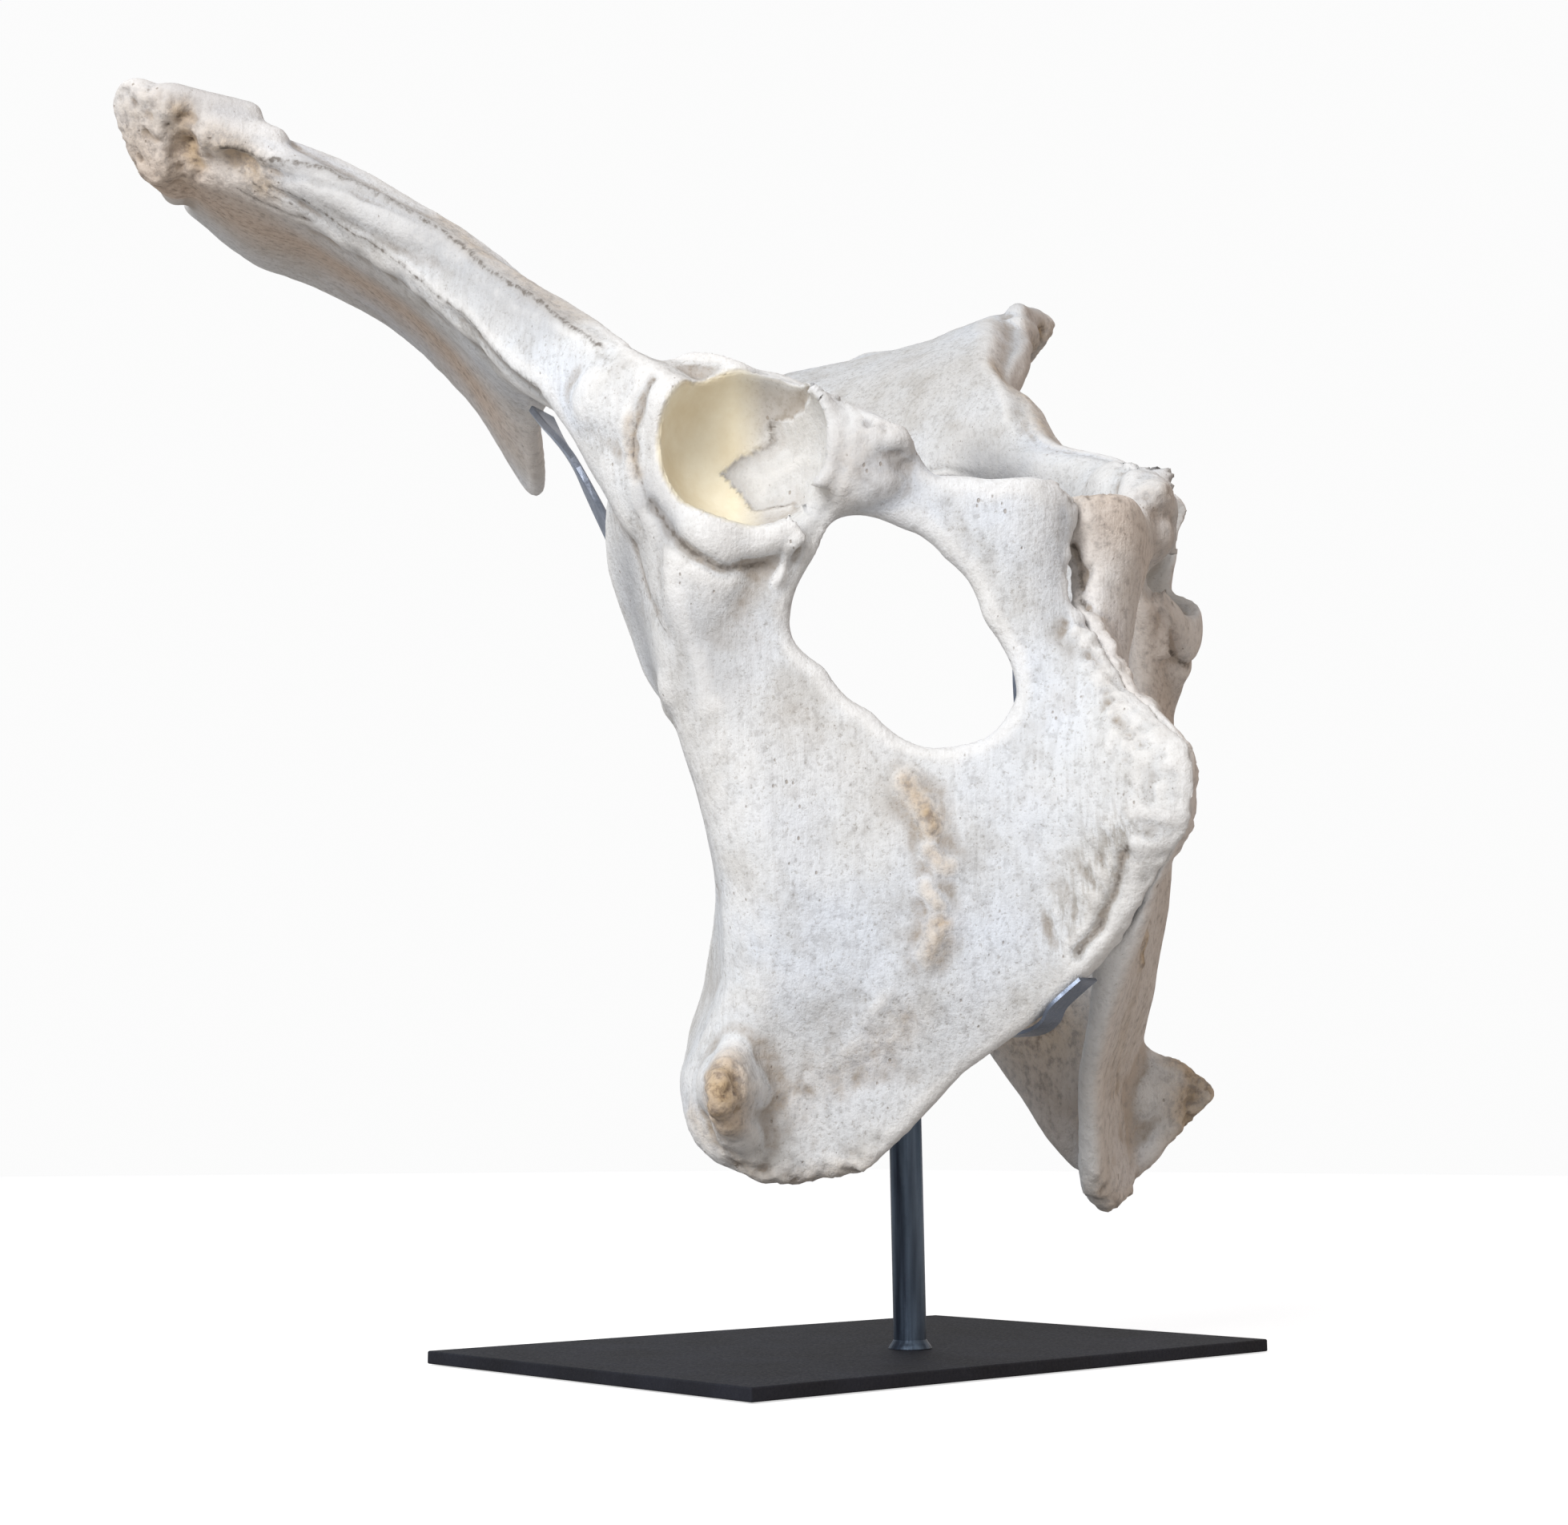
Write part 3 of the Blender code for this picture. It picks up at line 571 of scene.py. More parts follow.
def gap_to(points, normal, path, reach=30.0):
    """Distance of each point from a line drawn on the skin, in mm. The line is a smooth curve
    through its places, laid on the nearest points of the skin that don't face back and inwards.
    Points further off than the reach get the reach, and the more a point faces away from the
    line, the further off it counts."""
    path = np.array(path, float)
    length = np.linalg.norm(np.diff(path, axis=0), axis=1).sum()
    path = through(path, int(length / 2.5) + 3)
    # Only points in a box round the line are measured
    near = np.flatnonzero(((points > path.min(0) - reach) & (points < path.max(0) + reach)).all(1))
    front = near[normal[near] @ -FACE_INWARD > -0.7]
    found = front[[np.argmin(((points[front] - p) ** 2).sum(1)) for p in path]]
    line, facing = points[found], normal[found]
    for _ in range(2):
        line[1:-1] = (line[:-2] + 2 * line[1:-1] + line[2:]) / 4
        facing[1:-1] = (facing[:-2] + 2 * facing[1:-1] + facing[2:]) / 4
    # A point whose normal turns from the line's by over 63 degrees counts as further off
    gap, place = near_path(points[near], line)
    gap += 2 * reach * np.clip(0.45 - (normal[near] * facing[place]).sum(1), 0, 1)
    result = np.full(len(points), reach)
    result[near] = np.minimum(gap, reach)
    return result


def lumps(points, size, seed, layers=3):
    """Cloudy noise from -1 to 1: a lattice of seeded random values blended smoothly between its
    corners, summed over layers that are each half the size and half the height of the last."""
    table = np.random.default_rng(seed).uniform(-1, 1, (32, 32, 32))
    total, height, norm = 0.0, 1.0, 0.0
    for k in range(layers):
        q = points / size * 2 ** k + 17.3 * k
        i = np.floor(q).astype(int)
        f = q - i
        f = f * f * (3 - 2 * f)
        value = 0.0
        for corner in range(8):
            step = np.array([corner & 1, corner >> 1 & 1, corner >> 2 & 1])
            share = np.prod(np.where(step, f, 1 - f), axis=1)
            value = value + share * table[tuple(((i + step) % 32).T)]
        total, norm, height = total + value * height, norm + height, height / 2
    return total / norm


# Lines of the skin, as (out, back, up): (places, height, width, strength of the dark line in it, part dirt
# and part painted shade)
LINES = [
    # Line of muscle along the upper side of the ilium: a ridge, with a dirty step below it
    ([(225, 156, 495), (211, 147, 489), (197, 135, 483), (183, 119, 474), (166, 99, 462), (158, 83, 451),
      (154, 51, 425), (147, 23, 404), (142, -4, 380)], 1.5, 2.4, 1.0),
    ([(223, 155, 490), (209, 146, 484), (195, 134, 478), (182, 118, 469), (165, 98, 457), (157, 82, 446),
      (154, 52, 420), (147, 24, 399)], -1.3, 2.4, 0.0),
    # Lower border of the bright outer face, and the hollow of the wing behind it
    ([(205, 152, 482), (196, 142, 477), (184, 128, 460), (171, 109, 442), (163, 96, 429), (156, 69, 407),
      (153, 44, 382), (147, 24, 366)], 1.0, 2.4, 0.6),
    ([(184, 152, 462), (168, 126, 440), (155, 104, 422), (146, 88, 408), (140, 72, 392)], -3.0, 10.0, 0.0),
    # Scratches and small steps below the tuber coxae
    ([(214, 168, 484), (200, 160, 478), (186, 146, 468)], -0.9, 1.8, 0.5),
    ([(205, 160, 486), (192, 148, 477)], 0.9, 1.8, 0.3),
    # Groove round the lip of the socket, and the grooves and ridge of the neck below it
    ([(132, -27, 361), (135, -25, 349), (137, -20, 337), (135, -22, 325), (134, -27, 311)], -1.6, 2.4, 0.45),
    ([(134, -27, 311), (130, -36, 299), (125, -45, 290), (114, -51, 285), (101, -54, 287)], -2.4, 3.4, 0.9),
    ([(124, -3, 301), (121, -3, 292), (124, -14, 277), (125, -23, 267)], -1.2, 4.5, 0.2),
    ([(129, -33, 290), (125, -34, 273), (119, -36, 256), (116, -37, 238)], 1.4, 4.5, 0.0),
    # Faint line below the rough muscle line of the ischium
    ([(60, -67, 134), (63, -60, 126), (67, -53, 117)], 1.0, 4.0, 0.0),
    # Hollow beside the knob of the tuber
    ([(111, -52, 109), (109, -51, 101), (109, -44, 92)], -2.6, 4.2, 0.0),
    # Slit at the front end of the symphysis, and the cleft near its back end
    ([(4, -101, 300), (4, -104, 286), (5, -107, 272)], -1.6, 2.0, 1.0),
    ([(12, -141, 182), (12, -136, 174), (11, -130, 164), (11, -125, 155), (14, -117, 148)], -2.0, 2.6, 0.7),
    # Thin spur at the notch
    ([(94, -64, 296), (94, -60, 290), (95, -55, 282)], 4.0, 1.7, 0.0),
]
# Raised, rough, stained or shade-painted places: (places, width, rise, roughness, pits, tan)
ROUGH = [
    # Rough muscle line of the ischium, in four stretches
    ([(60, -82, 209), (57, -84, 201), (53, -88, 192)], 4.5, 3.6, 2.6, 0.0, 1.0),
    ([(54, -86, 184), (50, -89, 178)], 3.6, 2.6, 2.4, 0.0, 0.7),
    ([(54, -84, 171), (51, -86, 166)], 3.6, 2.4, 2.4, 0.0, 0.6),
    ([(50, -85, 158), (51, -81, 149)], 4.5, 2.6, 2.6, 0.0, 0.9),
    # Knob of the tuber
    ([(114, -43, 117), (118, -50, 108), (119, -51, 100), (113, -41, 91)], 9.0, 1.8, 2.2, 0.4, 1.0),
    # Knob of the pubis in front of the socket
    ([(60, -88, 332), (71, -86, 335), (80, -84, 336)], 7.0, 0.2, 1.3, 0.3, 0.2),
    ([(80, -80, 322), (70, -86, 320), (62, -88, 326)], 9.0, 0.0, 1.2, 0.25, 0.15),
    # Broken front end of the symphysis
    ([(4, -107, 314), (10, -109, 318)], 7.0, 0.0, 1.6, 1.0, 0.35),
    # End of the tuber coxae, the pitted hollow below it, and its lower side
    ([(249, 185, 516), (244, 170, 508), (240, 168, 498), (236, 186, 497)], 14.0, 0.0, 1.8, 0.4, 0.3),
    ([(254, 194, 496), (252, 188, 508), (246, 192, 497)], 13.0, 0.0, 1.2, 0.4, 0.3),
    ([(242, 160, 508), (241, 165, 502), (236, 171, 498), (232, 173, 492)], 5.5, -3.0, 2.5, 0.9, 1.0),
    ([(230, 160, 497), (218, 154, 490), (206, 154, 482)], 8.0, 0.0, 1.8, 0.3, 0.6),
    # Skin round the knob of the tuber
    ([(119, -50, 108), (120, -52, 99), (114, -42, 90), (109, -50, 99)], 12.0, 0.0, 1.2, 0.3, 0.85),
    # Painted shade on the upper strip of the ilium above its muscle line, and a stain on the socket's rim
    ([(152, 99, 460), (147, 68, 443), (142, 40, 421), (137, 14, 399)], 7.0, 0.0, 0.2, 0.0, 0.5),
    ([(85, -74, 311), (85, -77, 319), (83, -80, 330)], 8.0, 0.0, 0.3, 0.0, 0.45),
    # Side of the socket's lip
    ([(137, -21, 346), (136, -18, 336), (135, -22, 325)], 3.0, 0.8, 1.6, 0.2, 0.5),
    # Stains on the ischium behind and low down in front
    ([(75, 16, 132), (78, 7, 131), (81, -2, 135)], 18.0, 0.0, 0.2, 0.0, 0.7),
    ([(48, -62, 128), (62, -50, 112), (84, -40, 96)], 10.0, 0.0, 0.8, 0.2, 0.25),
    # Lower rim of the ischium
    ([(103, -8, 92), (102, -23, 80), (83, -26, 71), (68, -34, 69), (57, -46, 74)], 7.0, 0.0, 1.6, 0.5, 0.45),
    # Ragged edge of the symphysis
    ([(5, -106, 290), (4, -104, 274), (6, -122, 253), (9, -132, 237), (12, -144, 220)],
     4.0, 0.6, 1.6, 0.2, 0.2),
]
# Knob of the tuber, tan all over
KNOB = [(119, -50, 110), (121, -52, 100), (116, -44, 91)]
# Greyed places, grime in some and painted shade in others, such as in front of the socket and on the left
# bone's inner ilium: (places, width, share)
GREY = [
    ([(196, 140, 484), (166, 104, 456), (155, 60, 422), (146, 26, 398)], 12.0, 0.5),
    ([(238, 166, 516), (222, 158, 513)], 14.0, 0.5), ([(134, -26, 316), (131, -34, 303)], 8.0, 0.55),
    ([(76, -80, 320), (66, -86, 320)], 12.0, 0.6), ([(116, -30, 270), (112, -38, 250)], 12.0, 0.4),
    ([(118, 10, 300), (114, 16, 282), (112, 10, 262)], 11.0, 0.6)]
GREY_LEFT = [([(112, 70, 395), (117, 48, 388)], 14.0, 0.55), ([(232, 160, 502), (224, 150, 506)], 12.0, 0.3)]
# Browned places, part stain and part painted warm shade, on the wing, the tuber's knob and the left bone's
# sides turned from the window: (places, width, share)
BROWN = [([(226, 200, 488), (190, 200, 480), (150, 200, 466), (128, 175, 448), (104, 162, 415)], 38.0, 1.9),
         ([(118, -50, 112), (120, -52, 100), (114, -42, 90)], 13.0, 1.2)]
BROWN_LEFT = [([(12, -100, 305), (22, -98, 272), (14, -112, 250), (8, -122, 232)], 20.0, 0.9),
              ([(17, -115, 310), (50, -90, 296), (89, -61, 290), (112, -44, 252)], 24.0, 1.4),
              ([(78, 10, 130), (80, 2, 106)], 24.0, 1.2)]
# Ragged edge of the symphysis
EDGE = [(5, -106, 290), (4, -104, 274), (6, -122, 253), (9, -132, 237), (12, -144, 220), (10, -154, 207),
        (10, -152, 194), (12, -142, 182)]
# Line from which rough fibres fan out beside the symphysis
FAN = [(16, -140, 188), (15, -132, 178), (17, -122, 168), (18, -113, 156)]
# Inner side of the ilium, in front and at the back, where the bar runs smoothly into the blade
CALM = [(100, 95, 400), (112, 70, 395), (117, 48, 388), (115, 20, 380), (108, 0, 372)]
CALM_BACK = [(128, 50, 400), (122, 20, 378), (116, -10, 352), (112, -25, 330)]
# Part of the socket's rim that is low and blunt
BLUNT = [(94, -51, 365), (86, -61, 360), (80, -69, 349), (83, -80, 335), (82, -79, 322), (85, -74, 311),
         (88, -59, 306)]
# Border of the socket's sunk floor: broken along the first places, closed by the last three
FOSSA = [(84, -34, 349), (82, -33, 344), (86, -28, 340), (92, -24, 338), (99, -21, 331), (93, -25, 324),
         (90, -31, 315), (81, -43, 317), (77, -60, 300), (60, -72, 330), (70, -60, 352)]
FOSSA_BROKEN = 8
# Each bone has its own lumps
LEFT_SEED, RIGHT_SEED = 40, 7
# Height from which the lines of the left bone are faint, and how faint
FAINT_FROM, FAINT_SHARE = 340, 0.35
# Lumps all over the skin: their size and their height
BROAD_LUMP, FINE_LUMP, GRIT_LUMP = (34.0, 0.5), (9.0, 0.22), (3.8, 0.08)
# Turns of the skin's grain along the bar of the ilium, and along the fan of fibres
BAR_WAY = np.array([[0.45, 0.62, -0.64], [0.55, 0.55, 0.63], [-0.70, 0.56, 0.44]]).T
FAN_WAY = np.array([[0.9, 0.3, -0.3], [0.2, 0.5, 0.85], [-0.4, 0.8, -0.45]]).T


def fossa_of(points, seed):
    """For each point, how far it is inside the socket's sunk floor, and how far from its border.
    Seen along the socket's axis, a point is inside if a line from it to one side crosses the
    border an odd number of times."""
    rel = points - SOCKET_CENTRE
    reach, depth = np.linalg.norm(rel, axis=1), rel @ SOCKET_AXIS
    border = np.array(FOSSA, float) - SOCKET_CENTRE
    edge = np.stack([border @ SOCKET_U, border @ SOCKET_V], 1)
    flat = np.stack([rel @ SOCKET_U, rel @ SOCKET_V], 1)
    flat = flat + 1.5 * np.stack([lumps(points, 6.0, seed + 7), lumps(points, 6.0, seed + 8)], 1)
    inside = np.zeros(len(points), bool)
    for a, b in zip(edge, np.roll(edge, -1, 0)):
        crosses = (a[1] > flat[:, 1]) != (b[1] > flat[:, 1])
        inside ^= crosses & (flat[:, 0] < (b[0] - a[0]) * (flat[:, 1] - a[1]) / (b[1] - a[1] + 1e-9) + a[0])
    bowl = (reach < SOCKET_RADIUS + 6) & (depth < 8)
    broken = np.c_[edge[:FOSSA_BROKEN], np.zeros(FOSSA_BROKEN)]
    gap = np.where(bowl, near_path(np.c_[flat, 0 * reach], broken)[0], 12.0)
    return np.where(inside & bowl, gap, 0.0), gap


def carved(points, quads, seed):
    """Height in mm to add along the normal at each point, and the masks for the material. The
    height is a sum: lumps and fibres, the lines, the raised places, the ragged rims, and the
    socket's smooth cup and sunk floor."""
    normal = face_out(eased(points, quads, 2), quads)
    out, up = points[:, 0], points[:, 2]
    broad, fine = lumps(points, BROAD_LUMP[0], seed), lumps(points, FINE_LUMP[0], seed + 1)
    grit = lumps(points, GRIT_LUMP[0], seed + 2, 2)
    height = BROAD_LUMP[1] * broad + FINE_LUMP[1] * fine + GRIT_LUMP[1] * grit
    wobble = points + 1.6 * np.stack([lumps(points, 10.0, seed + k, 2) for k in (11, 12, 13)], 1)

    # Fibres: along the ilium high up, down the ischium lower
    along_bar = points @ BAR_WAY * (1, 0.12, 1)
    height += 0.24 * lumps(along_bar, 4.0, seed + 3, 2) * np.clip((up - 345) / 40, 0, 1)
    height += 0.12 * lumps(points * (1, 1, 0.18), 4.0, seed + 4, 2) * np.clip((300 - up) / 60, 0, 1)

    fan = soft(gap_to(wobble, normal, FAN), 8.5)
    along_fan = points @ FAN_WAY * (1, 0.16, 1)
    height += fan * 1.5 * lumps(along_fan, 3.6, seed + 9, 2)

    # Lines; high up on the left bone they are faint and carry no dark line
    # Dark lines along the lines: part cracks and dirt, part painted shade in grooves and slits
    crack_and_shade = np.full(len(points), 12.0)
    uneven = 1 + 0.8 * lumps(points, 14.0, seed + 5)
    for path, rise, width, dark in LINES:
        gap = gap_to(wobble, normal, path)
        quiet = FAINT_SHARE if seed == LEFT_SEED and path[0][2] > FAINT_FROM else 1.0
        height += quiet * rise * soft(gap, width) * uneven
        if dark and quiet == 1.0:
            crack_and_shade = np.minimum(crack_and_shade, gap / dark)

    # Raised and rough places
    tan, porous = np.zeros(len(points)), np.zeros(len(points))
    pits = np.clip(lumps(points, 3.4, seed + 6, 2) * 2.6 - 0.4, 0, 1)
    for path, width, rise, rough, hollow, tan_share in ROUGH:
        share = soft(gap_to(wobble, normal, path), width)
        height += share * (rise + rough * (0.7 * fine + 0.45 * grit) - 2.4 * hollow * pits)
        tan = np.maximum(tan, tan_share * share)
        porous = np.maximum(porous, hollow * share * pits)
    tan = np.maximum(tan, 0.95 * soft(near_path(wobble, KNOB)[0], 14.0))

    # Ragged rims: low down, beside the mid plane, and along the edge of the symphysis
    rim = np.clip((94 - up) / 22, 0, 1) + np.clip(1 - out / 9.0, 0, 1) * (up < 330)
    height += rim * (1.1 * fine + 0.8 * grit)
    height += soft(gap_to(points, normal, EDGE), 6.0) * (1.8 * fine + 1.4 * grit)

    # Socket: smooth crescent, and beside it a rough floor that is sunk behind a broken edge
    rel = points - SOCKET_CENTRE
    reach, depth = np.linalg.norm(rel, axis=1), rel @ SOCKET_AXIS
    cup = np.clip((SOCKET_RADIUS + 2.0 - reach) / 1.4, 0, 1) * (depth < 14)
    within, rim_gap = fossa_of(points, seed)
    sunk = np.clip(within / 1.4, 0, 1)
    smooth = cup * (1 - np.clip(sunk * 3, 0, 1))
    height = height * (1 - 0.9 * smooth) - sunk * (1.1 + 0.25 * grit + 0.35 * fine)
    # Dark line along the sunk floor's broken edge: part crack, part painted shade below the step
    crack_and_shade = np.minimum(crack_and_shade, rim_gap / 0.55)
    # Cream on the cup's wall that faces away from the window: the bone's own stain and painted shade
    cream = smooth * np.clip((rel @ (0.81, 0.58, 0.0) + 6) / 12, 0, 1)
    # Of the left socket only the deepest part is cream
    if seed == LEFT_SEED:
        cream *= np.clip(-1 - depth / 8, 0, 1)
    clean = np.maximum(np.clip(within / 1.5, 0, 1), 1.3 * soft(gap_to(points, normal, BLUNT), 6.0))
    tones = []
    for rows in (GREY + GREY_LEFT, BROWN_LEFT) if seed == LEFT_SEED else (GREY, BROWN):
        tones.append(np.max([share * soft(near_path(wobble, path)[0], width)
                             for path, width, share in rows], 0))
    masks = {"grey": tones[0], "brown": tones[1], "clean": np.clip(clean, 0, 1), "fan": fan,
             "crack_and_shade": crack_and_shade, "tan": np.clip(tan, 0, 1), "porous": porous, "cup": smooth, "cream": cream}
    return normal, height, masks


def on_stand(points):
    """Points of the pelvis set into the stand's lean and turn."""
    turn = np.array(PELVIS)
    return points @ turn[:3, :3].T + turn[:3, 3]


# The foremost edge of the symphysis is worn off at this distance in front of the middle
FOREMOST = -185.3


def place_bone(name, points, quads, masks, side):
    """The finished bone as an object: mirrored for the right side, moved off the mid plane by the
    gap, and set on the stand."""
    placed = on_stand(points * (side, 1, 1) + (side * SYMPHYSIS_GAP, 0, 0))
    placed[:, 1] = np.maximum(placed[:, 1], FOREMOST)
    mesh = bpy.data.meshes.new(name)
    mesh.from_pydata((placed * MM).tolist(), [], (quads if side > 0 else quads[:, ::-1]).tolist())
    mesh.shade_smooth()
    for key, values in masks.items():
        if values.ndim == 1:
            layer = mesh.attributes.new(key, "FLOAT", "POINT")
            layer.data.foreach_set("value", values.astype(np.float32))
        else:
            layer = mesh.attributes.new(key, "FLOAT_VECTOR", "POINT")
            layer.data.foreach_set("vector", values.astype(np.float32).ravel())
    return in_scene(name, mesh)


rough_bone = fused_bone(LAST_CUBE)
bone_points, bone_quads = points_of(rough_bone.data), corners_of(rough_bone.data)
bpy.data.objects.remove(rough_bone)

# What stands out beyond a flat is pressed almost down to it
PRESSED_SHARE = 0.85
for place, outward, reach in FLATS:
    outward = np.array(outward) / np.linalg.norm(outward)
    beyond = np.maximum((bone_points - place) @ outward, 0)
    beyond = beyond * (np.linalg.norm(bone_points - place, axis=1) < reach)
    bone_points -= PRESSED_SHARE * beyond[:, None] * outward

# The socket's floor is filled by up to this height. Then blunt and calm places are eased over
# these widths, the calm ones only where the skin faces their way
FOSSA_FILL = 4.0
BLUNT_WIDTH, CALM_WIDTH, CALM_BACK_WIDTH = 8.0, 26.0, 46.0
CALM_REACH = 60.0
CALM_ROUNDS = 60
CALM_FACING, CALM_BACK_FACING = (-0.58, -0.81, 0.0), (-0.75, 0.65, 0.0)
facing = face_out(bone_points, bone_quads)
within = fossa_of(bone_points, RIGHT_SEED)[0]
bone_points += facing * FOSSA_FILL * np.clip((within - 2) / 15, 0, 1)[:, None]
blunt = np.clip(1.5 * soft(gap_to(bone_points, facing, BLUNT), BLUNT_WIDTH), 0, 1)
calm = np.clip(1.5 * soft(gap_to(bone_points, facing, CALM, CALM_REACH), CALM_WIDTH), 0, 1)
calm = calm * np.clip(facing @ CALM_FACING * 3, 0, 1)
back_side = soft(near_path(bone_points, CALM_BACK)[0], CALM_BACK_WIDTH)
back_side = back_side * np.clip(facing @ CALM_BACK_FACING * 3, 0, 1)
share = np.maximum(np.maximum(blunt, calm), back_side)[:, None]
bone_points += share * (eased(bone_points, bone_quads, CALM_ROUNDS) - bone_points)

# The material's patterns are read at the bone's own places, shifted apart for the two bones
PATTERN_SHIFT = 0.7
# Hollows and wide dips, which the material darkens with dirt and painted shade: rounds of easing, and the
# depth below the eased skin that counts in full
SUNK_MASKS = (("hollow", 5, 0.32), ("dip", 24, 1.6))
bone_pieces = []
for name, side, seed in (("left_hip_bone", 1, LEFT_SEED), ("right_hip_bone", -1, RIGHT_SEED)):
    normal, height, masks = carved(bone_points, bone_quads, seed)
    shaped = bone_points + normal * height[:, None]
    shaped[:, 0] = np.maximum(shaped[:, 0], 0.0)
    masks["own"] = shaped * MM + (0.0, 0.0, PATTERN_SHIFT * side)
    if side > 0:
        still = shaped.copy()
        for place, reach, shift in LEFT_SHIFTS:
            shaped += np.exp(-(((still - place) / reach) ** 2).sum(1, keepdims=True)) * shift
    level = eased(shaped, bone_quads, 2)
    facing = face_out(level, bone_quads)
    for key, rounds, depth in SUNK_MASKS:
        sunk = ((eased(level, bone_quads, rounds) - level) * facing).sum(1)
        masks[key] = np.clip(sunk / depth, -1, 1) / 2 + 0.5 - 0.25 * masks["clean"]
    # Painted warm shade: the left bone's outer side is browned, the more so the further it faces away from
    # the window
    if side > 0:
        masks["brown"] = np.maximum(masks["brown"], np.clip(facing @ (0.75, -0.45, -0.2) * 1.5, 0, 1))
    bone_pieces.append(place_bone(name + "_dry", shaped, bone_quads, masks, side))


def laid_over(tree, below, above, amount, kind="MIX"):
    """One colour laid over another by an amount. The node's sockets 6 and 7 are the colours, and
    its socket 0 is the amount."""
    return node(tree, "ShaderNodeMix", [(6, below), (7, above), (0, amount)], data_type="RGBA",
                blend_type=kind).outputs[2]


def reckoned(tree, a, b, operation="MULTIPLY"):
    """Two values, or a value and a number, through one step of arithmetic."""
    return node(tree, "ShaderNodeMath", [(0, a), (1, b)], operation=operation).outputs[0]


def masked(tree, name):
    """Value of one of the bone's masks."""
    return node(tree, "ShaderNodeAttribute", attribute_name=name).outputs["Fac"]


def stretched(tree, place, turn, scale):
    """The place vector turned and scaled, to stretch a pattern along one direction."""
    return node(tree, "ShaderNodeMapping", [("Vector", place), ("Rotation", turn),
                                            ("Scale", scale)]).outputs["Vector"]


# Whites of the bone, and what darkens them everywhere: (noise, stops of its ramp, share)
BONE_WHITES = [(0.34, (0.65, 0.645, 0.635)), (0.50, (0.70, 0.715, 0.73)), (0.66, (0.70, 0.74, 0.80))]
BONE_SHADES = [
    ("patch", [(0.34, (0.82, 0.80, 0.77)), (0.50, (0.97, 0.97, 0.965)), (0.66, (1.0, 1.0, 1.0))], 1.0),
    ("fibre", [(0.36, (0.84, 0.83, 0.82)), (0.52, (1.0, 1.0, 1.0))], 0.6),
    ("speck", [(0.33, (0.50, 0.46, 0.41)), (0.42, (1.0, 1.0, 1.0))], 0.5),
    ("small", [(0.36, (0.72, 0.705, 0.69)), (0.48, (1.0, 1.0, 1.0))], 0.6)]
# Dirt, with painted shade in hollows, in wide dips and in the grey patches, and the crests that are free of
# it, whiter from wear and from painted highlight
FIBRE_DIRT = (0.28, 0.25, 0.21, 1)
HOLLOW_DIRT_AND_SHADE = (0.26, 0.22, 0.18, 1)
DIP_SHADE_AND_DIRT = (0.45, 0.40, 0.35, 1)
CREST_WEAR_AND_HIGHLIGHT = (0.84, 0.83, 0.81, 1)
GREY_GRIME_AND_SHADE = (0.33, 0.34, 0.36, 1)
# Stains, partly painted shade, and the clean places
BROWN_STAIN_AND_SHADE = [(0.34, (0.36, 0.28, 0.22)), (0.48, (0.58, 0.46, 0.37)), (0.62, (0.66, 0.55, 0.46))]
TAN_STAIN_AND_SHADE = [(0.38, (0.22, 0.15, 0.09)), (0.55, (0.50, 0.37, 0.23))]
CREAM_STAIN_AND_SHADE = [(0.35, (0.79, 0.69, 0.48)), (0.65, (0.90, 0.84, 0.66))]
CLEAN_WHITE = (0.60, 0.60, 0.60, 1)
# Insides of pits, cracks and pores, darkened with dirt and painted shade
PIT_DARK = (0.25, 0.20, 0.15, 1)
CRACK_AND_SHADE_DARK = (0.13, 0.11, 0.09, 1)
PORE_DARK = (0.16, 0.12, 0.09, 1)


def bone_noises(tree, place):
    """The noises that the bone's colour and relief share, by name, from wide to fine."""
    along_bar = stretched(tree, place, (-0.86, 0.0, -0.5), (1.0, 1.0, 0.10))
    return {"broad": cloud(tree, place, 11.0, 3.0), "patch": cloud(tree, place, 45.0, 5.0, 0.62),
            "small": cloud(tree, place, 300.0, 5.0, 0.65), "fibre": cloud(tree, along_bar, 420.0, 4.0, 0.6),
            "speck": cloud(tree, place, 800.0, 3.0, 0.6)}


def bone_dirt_and_shade(tree, base, place, noise):
    """Dirt in the fibres beside the symphysis; dirt and painted shade in hollows and in wide dips;
    crests whiter from wear and painted highlight; and grey patches of grime and painted shade over all of
    them."""
    along_fan = stretched(tree, place, (0.5, 0.0, 0.35), (1.0, 1.0, 0.10))
    streak = ramp(tree, cloud(tree, along_fan, 520.0, 3.0, 0.6), [(0.42, (1.0,)), (0.56, (0.0,))])
    streak = reckoned(tree, streak, masked(tree, "fan"))
    base = laid_over(tree, base, FIBRE_DIRT, reckoned(tree, streak, 0.6))
    # Painted shade, with some dirt, in the hollows
    hollow = masked(tree, "hollow")
    dirt_and_shade = reckoned(tree, ramp(tree, hollow, [(0.54, (0.0,)), (0.82, (1.0,))]),
                    ramp(tree, noise["small"], [(0.35, (0.25,)), (0.6, (1.0,))]))
    base = laid_over(tree, base, HOLLOW_DIRT_AND_SHADE, reckoned(tree, dirt_and_shade, 0.8))
    # Painted shade, with some dirt, in wide dips
    dip = ramp(tree, masked(tree, "dip"), [(0.52, (0.0,)), (0.95, (0.5,))])
    base = laid_over(tree, base, DIP_SHADE_AND_DIRT, dip)
    # Crests made whiter: wear and painted highlight
    worn_and_lit = ramp(tree, hollow, [(0.15, (0.5,)), (0.43, (0.0,))])
    base = laid_over(tree, base, CREST_WEAR_AND_HIGHLIGHT, worn_and_lit)
    # Grey patches: grime, and painted shade in some places
    grime_and_shade = ramp(tree, noise["small"], [(0.30, (0.5,)), (0.55, (1.2,))])
    return laid_over(tree, base, GREY_GRIME_AND_SHADE, reckoned(tree, masked(tree, "grey"), grime_and_shade))


